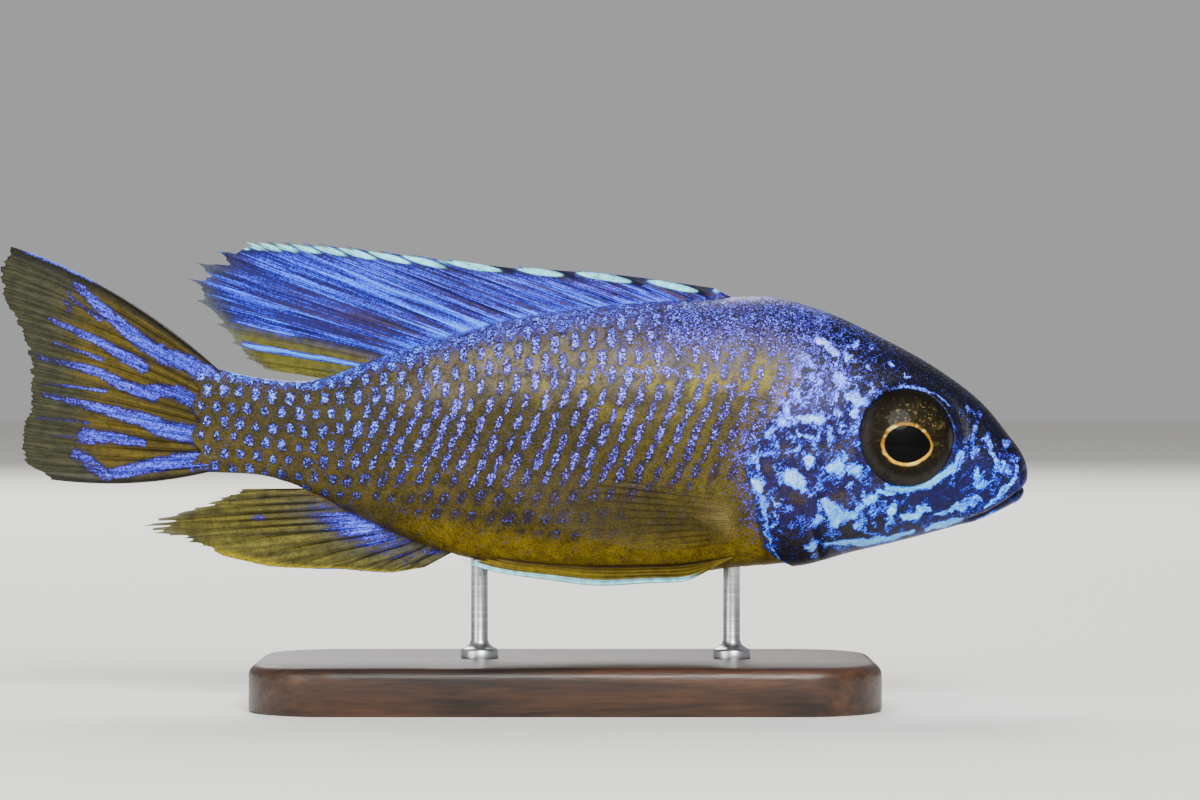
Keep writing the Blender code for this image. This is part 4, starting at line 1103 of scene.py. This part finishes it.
def tail_tint(u, v, x, z, ray):
    """Gold brown ground, blue bands with ragged sides, grey clear rim."""
    ragged = 0.5 * (cloud(x, z, 0.45, 41) - 0.5)
    uneven = 0.12 * (cloud(u * 50, v * 2, 1.0, 43) - 0.5)
    outer = smooth(0.62, 0.84, v + 0.1 * np.abs(2 * u - 1) ** 2 + uneven)
    fine = ridges(ray, v)
    glow, dark = np.zeros_like(u), np.zeros_like(u)
    for line, start, end, strength in BANDS:
        away, along = from_line([seen(*p) for p in line], x, z)
        thin = (start + (end - start) * along) * UNIT
        glow = np.maximum(glow, strength * np.clip(1.9 - 0.95 * (away + ragged * thin * 1.1) / thin, 0, 1))
        dark = np.maximum(dark, smooth(1.9, 1.2, away / thin))
    edge_dark = np.maximum(smooth(0.06, 0.02, u), smooth(0.965, 0.985, u))
    upper_line = 0.7 * smooth(0.012, 0.004, u) * smooth(0.45, 0.7, v) * smooth(0.99, 0.9, v)
    ground = layer(
        "64540A", ("3C3208", cloud(u * 40, v * 3, 1.0, 42)), ("3A3C24", outer * 0.9),
        ("1A1A0E", (0.25 + 0.6 * outer) * fine), ("1E1A30", 0.55 * dark), ("14140E", edge_dark * 0.85),
    )
    glow = np.maximum(glow * (1 - 0.3 * outer), 0.8 * upper_line)
    return ground, glow, 0.34 + 0.4 * upper_line, 1 - 0.22 * outer * (1 - fine)


tail = fin(
    "tail", TAIL_RAYS, 18, 100, tail_place, tail_paint, tail_tint,
    lambda ray, u: fringe(ray, 0.008, 0.022, 23), root_thick=1.5,
)
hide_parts("tail_fin")

# %% [markdown]
# The anal fin is olive brown with long free ray tips behind. Blue strokes lie over its middle,
# orange glints by its rear root and a yellow band along its lower edge.

# %% The anal fin
ANAL_RAYS, ANAL_FRONT, ANAL_REAR = 13, -5.9, -21.4
ANAL_EDGE = [
    (0.0, -9.1, 14.6), (0.1, -13.2, 14.0), (0.2, -17.5, 14.3), (0.35, -26.7, 14.8),
    (0.5, -35.0, 17.2), (0.62, -39.7, 18.5), (0.72, -39.0, 19.4), (0.85, -33.8, 21.1),
    (1.0, -29.3, 22.9),
]
BLUE_AT, BLUE_END, BLUE_SPOT, GLINT_AT = seen(362, 530), seen(430, 552), seen(258, 518), seen(330, 496)


def anal_place(u, v):
    """From the belly's line to the fin's edge, hanging a little to the right in its middle."""
    x0 = ANAL_FRONT + (ANAL_REAR - ANAL_FRONT) * u
    x, z = on_rays(x0, through(BELLY, x0) + ROOT_SUNK, ANAL_EDGE, u, v)
    return x, bend(x) - 0.6 * v * v * np.sin(np.pi * u), z


def anal_edge(ray, u):
    """A smooth front edge, then free tips, deepest where the rays are longest."""
    free = smooth(0.38, 0.62, u)
    return fringe(ray, 0.015 + 0.045 * free, 0.01 + 0.11 * free, 24)


def blot(x, z, at, long, high):
    """A soft elliptical blot: the product of a bell along x and one along z."""
    return bell(x - at[0], long) * bell(z - at[1], high)


def anal_tint(u, v, x, z, ray):
    """Olive with dark rays, blue strokes in the front half and a yellow lower edge."""
    (ax, az), (bx, bz) = BLUE_AT, BLUE_END
    tilted = z - (x - ax) * (bz - az) / (bx - ax)
    blue = np.maximum(1.2 * blot(x, tilted, BLUE_AT, 6.8, 2.2), 0.8 * blot(x, z, BLUE_END, 2.6, 0.7))
    stroke, broad = cloud(u * 60, v * 3.5, 1.0, 52), cloud(u * 22, v * 6, 1.0, 54)
    glow = 0.62 * blue * (0.5 + 0.65 * stroke) * (0.7 + 0.4 * broad)
    glow = np.maximum(glow, 0.5 * blot(x, z, BLUE_SPOT, 1.2, 0.5))
    glint = blot(x, z + 0.35 * (x - GLINT_AT[0]), GLINT_AT, 2.2, 0.6)
    lower = smooth(0.86, 0.97, v) * smooth(0.5, 0.4, u)
    white = smooth(0.955, 0.985, v) * smooth(0.3, 0.22, u) * smooth(0.0, 0.04, u)
    tips = smooth(0.75, 1.0, v) * smooth(0.45, 0.6, u)
    ground = layer(
        "6A6220", ("3E3A14", cloud(u * 60, v * 4, 1.0, 51)), ("221E0A", 0.45 * ridges(ray, v)),
        ("4C4E58", 0.6 * np.clip(blue, 0, 1)),
        ("D8741C", glint * smooth(0.5, 0.75, cloud(u * 90, v * 9, 1.0, 53))), ("8C7E10", lower),
    )
    return ground, np.maximum(glow * (1 - lower), 0.95 * white), 0.3 + 0.6 * white, 1 - 0.35 * tips


anal = fin("anal", ANAL_RAYS, 21, 80, anal_place, tail_paint, anal_tint, anal_edge)
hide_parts("anal_fin")

# %% [markdown]
# The paired fins are thin. The pectoral fins are almost clear, with a pale fleshy root. The pelvic
# fins are folded back along the belly and show their white leading edge below.

# %% The pectoral and pelvic fins
PECTORAL_RAYS, PECTORAL_SPREAD = 11, 4.2
PECTORAL_ROOT = [(0.0, 23.9, 22.2), (1.0, 24.2, 17.6)]
PECTORAL_EDGE = [
    (0.0, -1.9, 26.1), (0.2, -1.2, 23.9), (0.4, 1.0, 21.6), (0.6, 4.6, 19.3),
    (0.8, 9.6, 17.5), (1.0, 15.5, 16.6),
]
PELVIC_RAYS = 6
PELVIC_ROOT, PELVIC_TIP = (23.6, 3.5), (-5.2, 2.3)


def pectoral_place(side):
    """From a short upright root to a slanting edge that stands out from the flank."""

    def place(u, v):
        x0, z0 = edge_at(PECTORAL_ROOT, u)
        x, z = on_rays(x0, z0, PECTORAL_EDGE, u, v)
        y = half_width_at(x0, z0) + 0.05 + PECTORAL_SPREAD * v + 0.9 * np.sin(np.pi * u) * v
        return x, side * y + bend(x) * v, z

    return place


def pectoral_tint(u, v, x, z, ray):
    """Faint brown rays on a clear membrane, buff at the root."""
    fine = ridges(ray, v)
    root = smooth(0.26, 0.02, v + 0.07 * (cloud(u * 9, v * 5, 1.0, 62) - 0.5))
    root = root * np.sin(np.pi * np.clip(u, 0.02, 0.98)) ** 0.7
    solid = (0.06 + 0.2 * fine * smooth(0.05, 0.4, v) + 0.36 * root) * (0.25 + 0.75 * smooth(0.0, 0.06, v))
    return layer("5C5230", ("3C341C", fine), ("9A8446", root)), 0.08 + 0 * u, 0.3 + 0 * u, solid


def underside(x, y):
    """Height of the belly at x, a distance y from the middle: the lower half of the superellipse."""
    _, bottom, level, width, _, below = section(x)
    return level - (level - bottom) * (1 - np.clip(y / width, 0, 1) ** below) ** (1 / below)


def pelvic_place(side):
    """The fin lies folded along the belly's side. u = 0 is its inner edge, on the skin, and u = 1 the
    leading edge, which hangs 0.4 + 0.5 sin(pi v) mm below the lowest line of the belly."""

    def place(u, v):
        x = PELVIC_ROOT[0] + (PELVIC_TIP[0] + 4.0 * (1 - u) - PELVIC_ROOT[0]) * v
        y = PELVIC_ROOT[1] * (1 - v) + PELVIC_TIP[1] * v + 0.3 * u * np.sin(np.pi * v)
        skin_z = underside(x, y)
        below = skin_z - through(BELLY, x) + 0.4 + 0.5 * np.sin(np.pi * v) + 0.1 * np.sin(5 * np.pi * v)
        return x, side * y + bend(x), skin_z - 0.05 - u * below * smooth(-0.05, 0.2, v)

    return place


def pelvic_tint(u, v, x, z, ray):
    """Golden brown, with painted shade in the crease by the body, and a pale leading edge."""
    lead = smooth(0.74, 0.8, u) * smooth(0.11, 0.18, v)
    # The dark brown along the inner edge, by the belly, is painted shade in the crease between fin and
    # body.
    ground = layer(
        "8A7614", ("5A4A10", cloud(u * 14, v * 3, 1.0, 61)), ("2A1606", 0.9 * smooth(0.3, 0.08, u)),
        ("A4ECF8", lead),
    )
    return ground, 0.06 * (1 - lead), 0.3 + 0 * u, 0.97 + 0 * u


for side, word in ((-1, "right"), (1, "left")):
    pectoral = fin(
        f"pectoral_{word}", PECTORAL_RAYS, 18, 50, pectoral_place(side), clear_paint, pectoral_tint,
        lambda ray, u: fringe(ray, 0.02, 0.03, 25),
    )
    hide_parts(f"pectoral_fin_{word}")
    pelvic = fin(
        f"pelvic_{word}", PELVIC_RAYS, 14, 60, pelvic_place(side), fin_paint, pelvic_tint,
        lambda ray, u: fringe(ray, 0.03, 0.03, 26), thick=0.7,
    )
    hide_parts(f"pelvic_fin_{word}")

# %% [markdown]
# The eye is a shallow dome under a wet clear surface. Its pupil is drawn out to a point ahead, a
# thin gold ring runs round it, and the iris is dark bronze with gold flecks. The colours are worked
# out on the dome's own rings, which are evenly spaced from its middle to its rim.

# %% The iris
PUPIL_AHEAD, PUPIL_UP, PUPIL_LONG, PUPIL_HIGH = -0.5, -1.0, 2.3, 1.95
EYE_BACK = "0C0C0C"


def iris_look():
    """Bronze read from the mesh, with fine grain and no shine of its own under a clear wet coat."""
    look, shader, tree, where = new_look("iris")
    fine = where.noise(6500.0, Detail=3.0, Roughness=0.7)
    plug(shader, {
        "Base Color": stored(tree, "ground", "Color").shaded(fine.span(0.25, 0.75, 0.3, 1.4)),
        "Roughness": fine.span(0.3, 0.7, 0.4, 0.6), "Specular IOR Level": 0.05,
        **WET, "Coat Weight": 0.09, "Coat Roughness": 0.04,
    })
    return look


def iris_colours(p, q):
    """Colour at p ahead of and q above the middle of the eye, in mm. The pupil is an ellipse of half
    axes PUPIL_LONG and PUPIL_HIGH, drawn out ahead to a point; the gold ring is 0.4 wide."""
    pp, qq = p - PUPIL_AHEAD, q - PUPIL_UP
    turn = np.arctan2(qq, pp)
    long = PUPIL_LONG + 0.36 * np.clip(np.cos(turn + 0.15), 0, 1) ** 8
    rim = 1 / np.sqrt((np.cos(turn) / long) ** 2 + (np.sin(turn) / PUPIL_HIGH) ** 2)
    away, out, spin = np.hypot(pp, qq) - rim, np.hypot(p, q), np.arctan2(q, p)
    flecks = smooth(0.72, 0.9, cloud(p, q, 0.2, 72))
    flecks = flecks * smooth(-0.4, 1.4, q + 0.5 * p) * smooth(4.5, 3.2, out)
    grey = smooth(3.9, 4.7, out) * smooth(0.75, -0.5, np.sin(spin) + 0.6 * np.cos(spin))
    upper = smooth(0.3, -0.8, np.sin(turn))
    uneven = 0.5 + 0.5 * smooth(0.15, 0.6, cloud(spin * 2.6, 0 * out, 1.0, 73) + 0.4 * upper)
    gold = layer(
        "A07016", ("ECB430", smooth(0.3, -0.9, np.sin(turn))),
        ("F8DC80", 0.8 * smooth(0.6, 0.85, cloud(spin * 3.2, 0 * out, 1.0, 76))),
    )
    return layer(
        "1A150A", ("100D08", smooth(3.0, 4.6, out)),
        ("4A3E1A", 0.4 * smooth(0.5, 0.85, cloud(spin * 18, out, 1.0, 71)) * smooth(4.4, 3.0, out)),
        ("847446", 0.6 * flecks), ("3E3A36", 0.6 * grey * (0.5 + 0.5 * cloud(spin * 9, out, 0.6, 74))),
        ("504A40", 0.5 * smooth(4.2, 4.7, p) * smooth(1.6, 0.4, np.abs(q + 0.3))),
        (gold, smooth(0.4, 0.2, away + 0.16 * (cloud(p, q, 0.5, 75) - 0.5)) * uneven),
        ("000000", smooth(0.06, -0.02, away)),
    )


# %% The eyes
EYE_RINGS, BOWL_RINGS, EYE_SPOKES, BOWL_DEPTH = 89, 7, 160, 0.6
iris = iris_look()


def eyeball(name, side):
    """A dome over a disc: height = depth sqrt(1 - (r / R)^2), closed below by a bowl BOWL_DEPTH as deep."""
    radii = np.concatenate([np.linspace(0, 1, EYE_RINGS + 1)[1:], np.linspace(1, 0.1, BOWL_RINGS + 1)[1:]])
    front = np.arange(len(radii)) < EYE_RINGS
    r, a = np.meshgrid(radii, np.linspace(0, 2 * np.pi, EYE_SPOKES, endpoint=False), indexing="ij")
    out = np.where(front, 1.0, -BOWL_DEPTH)[:, None] * EYE_DEPTH * np.sqrt(np.clip(1 - r**2, 0, 1))
    p, q = EYE_RADIUS * r * np.cos(a), EYE_RADIUS * r * np.sin(a)
    centre, ahead, up, look = eye_frame(side)
    body = centre + p[..., None] * ahead + q[..., None] * up + out[..., None] * look
    points = np.concatenate([
        body.reshape(-1, 3), [centre + EYE_DEPTH * look], [centre - BOWL_DEPTH * EYE_DEPTH * look],
    ])
    first, last = (fan[:, [0, 2, 1]] for fan in fans(*r.shape))
    faces = [*grid_faces(*r.shape, around=True)[0][:, ::-1].tolist(), *first.tolist(), *last.tolist()]
    ground = np.where(front[:, None, None], iris_colours(p, q), colour(EYE_BACK))
    ends = [*iris_colours(np.zeros(1), np.zeros(1)), colour(EYE_BACK)]
    piece = make(name, points, faces, iris, {"ground": np.concatenate([ground.reshape(-1, 4), ends])})
    a, b, c = points[first[0]]
    if np.cross(b - a, c - a) @ look < 0:
        piece.data.flip_normals()
    return piece


for side, word in ((-1, "right"), (1, "left")):
    eye = eyeball(f"eyeball_{word}", side)
    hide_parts(f"eye_{word}")

# %% [markdown]
# The stand is plain: a dark waxed wooden plinth and two brushed steel rods. The plinth is a block
# with round corners and an eased top edge, and each rod is a turned bar with a small collar at its
# foot. Grain is drawn out along the plinth, and fine rings of brushing run round the rods.

# %% The stand's materials


def stretched(where, scale):
    """A place with its three directions stretched."""
    return add(where.tree, "Mapping", {"Vector": where, "Scale": scale})


def wood():
    """Dark walnut: broad bands of grain bent by noise, with fine pores along them."""
    look, shader, tree, where = new_look("walnut")
    along = stretched(where, (14, 120, 120))
    grain, pores = along.noise(3.0, Detail=6.0, Distortion=1.2), along.noise(22.0, Detail=3.0)
    tone = grain.ramp([(0.32, "190F08"), (0.7, "4E301B")]).shaded(pores.span(0.3, 0.6, 0.55, 1.0))
    relief = add(tree, "Bump", {"Distance": 0.04 * MM, "Strength": 1.0, "Height": pores})
    plug(shader, {"Base Color": tone, "Roughness": pores.span(0.0, 1.0, 0.5, 0.3), "Normal": relief})
    return look


def steel():
    """Brushed steel: noise squeezed along z makes the fine rings of turning."""
    look, shader, _, where = new_look("brushed_steel")
    lines = stretched(where, (60, 60, 4000)).noise(1.0, Detail=3.0)
    tone = lines.ramp([(0.3, "A2A4A8"), (0.7, "C8CACC")])
    plug(shader, {"Metallic": 1.0, "Base Color": tone, "Roughness": lines.span(0.0, 1.0, 0.22, 0.42)})
    return look


# %% The plinth and rods
BASE_LENGTH, BASE_WIDTH, BASE_HEIGHT, BASE_X = 66.0, 34.0, 5.0, 6.0
CORNER, EASE, COLLAR_RADIUS = 9.0, 1.2, 2
RODS = {"stand_rod_front": 23.6, "stand_rod_rear": -3.2}
ROD_PROFILE = [(0.0, 0.0), (0.0, 0.75), (0.12, 0.95), (0.35, 1.05), (0.9, 1.4), (1.1, 1.9)]


def turned(name, outline, profile, look):
    """A closed solid: an outline of (x, y) drawn in by each inset of a profile of (inset, z)."""
    inset, z = np.array(profile, float).T[..., None]
    (x, y), (nx, ny) = outline
    points = np.stack(np.broadcast_arrays(x - nx * inset, y - ny * inset, z), -1)
    n, m = points.shape[:2]
    faces = grid_faces(n, m, around=True)[0].tolist()
    faces += [list(range(m)), list(range((n - 1) * m, n * m))[::-1]]
    piece = make(name, points.reshape(-1, 3), [f[::-1] for f in faces], look)
    piece.data.set_sharp_from_angle(angle=math.radians(50))
    return piece


def rounded_box(long, wide, corner, middle, steps=20):
    """Outline of a box with quarter-circle corners, and its outward directions."""
    angle = np.concatenate([np.linspace(k, k + 1, steps) for k in range(4)]) * np.pi / 2
    nx, ny = np.cos(angle), np.sin(angle)
    quarter = np.repeat(np.arange(4), steps)
    sx, sy = np.array([1, -1, -1, 1])[quarter], np.array([1, 1, -1, -1])[quarter]
    x = middle + sx * (long / 2 - corner) + corner * nx
    return (x, sy * (wide / 2 - corner) + corner * ny), (nx, ny)


walnut, brushed = wood(), steel()
rise = np.linspace(0, np.pi / 2, 9)
bead = [(EASE * (1 - math.cos(a)), BASE_HEIGHT - EASE + EASE * math.sin(a)) for a in rise]
side_wall = [(0.25, 0.0), (0.0, 0.25), *bead, (CORNER * 0.6, BASE_HEIGHT)]
plinth = turned("stand_plinth", rounded_box(BASE_LENGTH, BASE_WIDTH, CORNER, BASE_X), side_wall, walnut)
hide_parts("stand_base")
angle = np.linspace(0, 2 * np.pi, 48, endpoint=False)
way = np.cos(angle), np.sin(angle)
for node, x in RODS.items():
    foot, top = BASE_HEIGHT + 0.02, float(through(BELLY, x)) + 0.1
    profile = [*((inset, foot + up) for inset, up in ROD_PROFILE), (ROD_PROFILE[-1][0], top)]
    outline = x + COLLAR_RADIUS * way[0], float(bend(x)) + COLLAR_RADIUS * way[1]
    rod = turned(f"{node}_steel", (outline, way), profile, brushed)
    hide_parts(node)

# %% [markdown]
# The stage is a flat pale floor, lit by large soft lights. A wall behind would give an even
# backdrop but hide the object from the other side, so the world's own grey is the backdrop, close
# to the floor's far tone. The camera looks square at the fish's right side from a good distance,
# so its outline isn't distorted.

# %% Floor, lights and camera
VIEW_WIDTH, VIEW_DISTANCE, SENSOR = 127.54, 430.0, 36
VIEW_AT = seen(600, 400)
FLOOR_REACH = 6000.0
floor_mesh = bpy.data.meshes.new("floor")
floor_corners = np.array([(-1, -1, 0), (1, -1, 0), (1, 1, 0), (-1, 1, 0)]) * FLOOR_REACH * MM
floor_mesh.from_pydata(floor_corners.tolist(), [], [(0, 1, 2, 3)])
pale, pale_shader, *_ = new_look("pale_floor")
plug(pale_shader, {"Base Color": colour("F0EEE8"), "Roughness": 0.8})
floor_mesh.materials.append(pale)
floor = bpy.data.objects.new("floor", floor_mesh)
bpy.context.scene.collection.objects.link(floor)


def soft_light(name, place, aim, size, power):
    """A round lamp of a size in mm at a place, turned towards aim and unseen itself."""
    lamp = bpy.data.lights.new(name, "AREA")
    lamp.shape, lamp.size, lamp.energy = "DISK", size * MM, power
    lit = bpy.data.objects.new(name, lamp)
    lit.visible_camera = False
    lit.location = Vector(place) * MM
    lit.rotation_euler = (Vector(aim) - Vector(place)).to_track_quat("-Z", "Y").to_euler()
    bpy.context.scene.collection.objects.link(lit)


soft_light("key", (320, -1210, 820), (5, 0, 28), 720, 34)
soft_light("fill", (-960, -900, 480), (0, 0, 28), 900, 9)
soft_light("back", (-180, 990, 860), (0, 0, 30), 780, 17)
world = bpy.data.worlds.new("studio")
world.use_nodes = True
plug(world.node_tree.nodes["Background"], {"Color": (0.84, 0.84, 0.85, 1), "Strength": 0.46})
bpy.context.scene.world = world
camera_data = bpy.data.cameras.new("camera")
camera_data.sensor_width = SENSOR
camera_data.lens = SENSOR * VIEW_DISTANCE / VIEW_WIDTH
camera_data.clip_start = 0.01
camera = bpy.data.objects.new("camera", camera_data)
stand_off = Matrix.Translation(Vector((VIEW_AT[0], -VIEW_DISTANCE, VIEW_AT[1])) * MM)
camera.matrix_world = stand_off @ Matrix.Rotation(math.pi / 2, 4, "X")
bpy.context.scene.collection.objects.link(camera)
bpy.context.scene.camera = camera

print("the camera stands", VIEW_DISTANCE, "mm away")
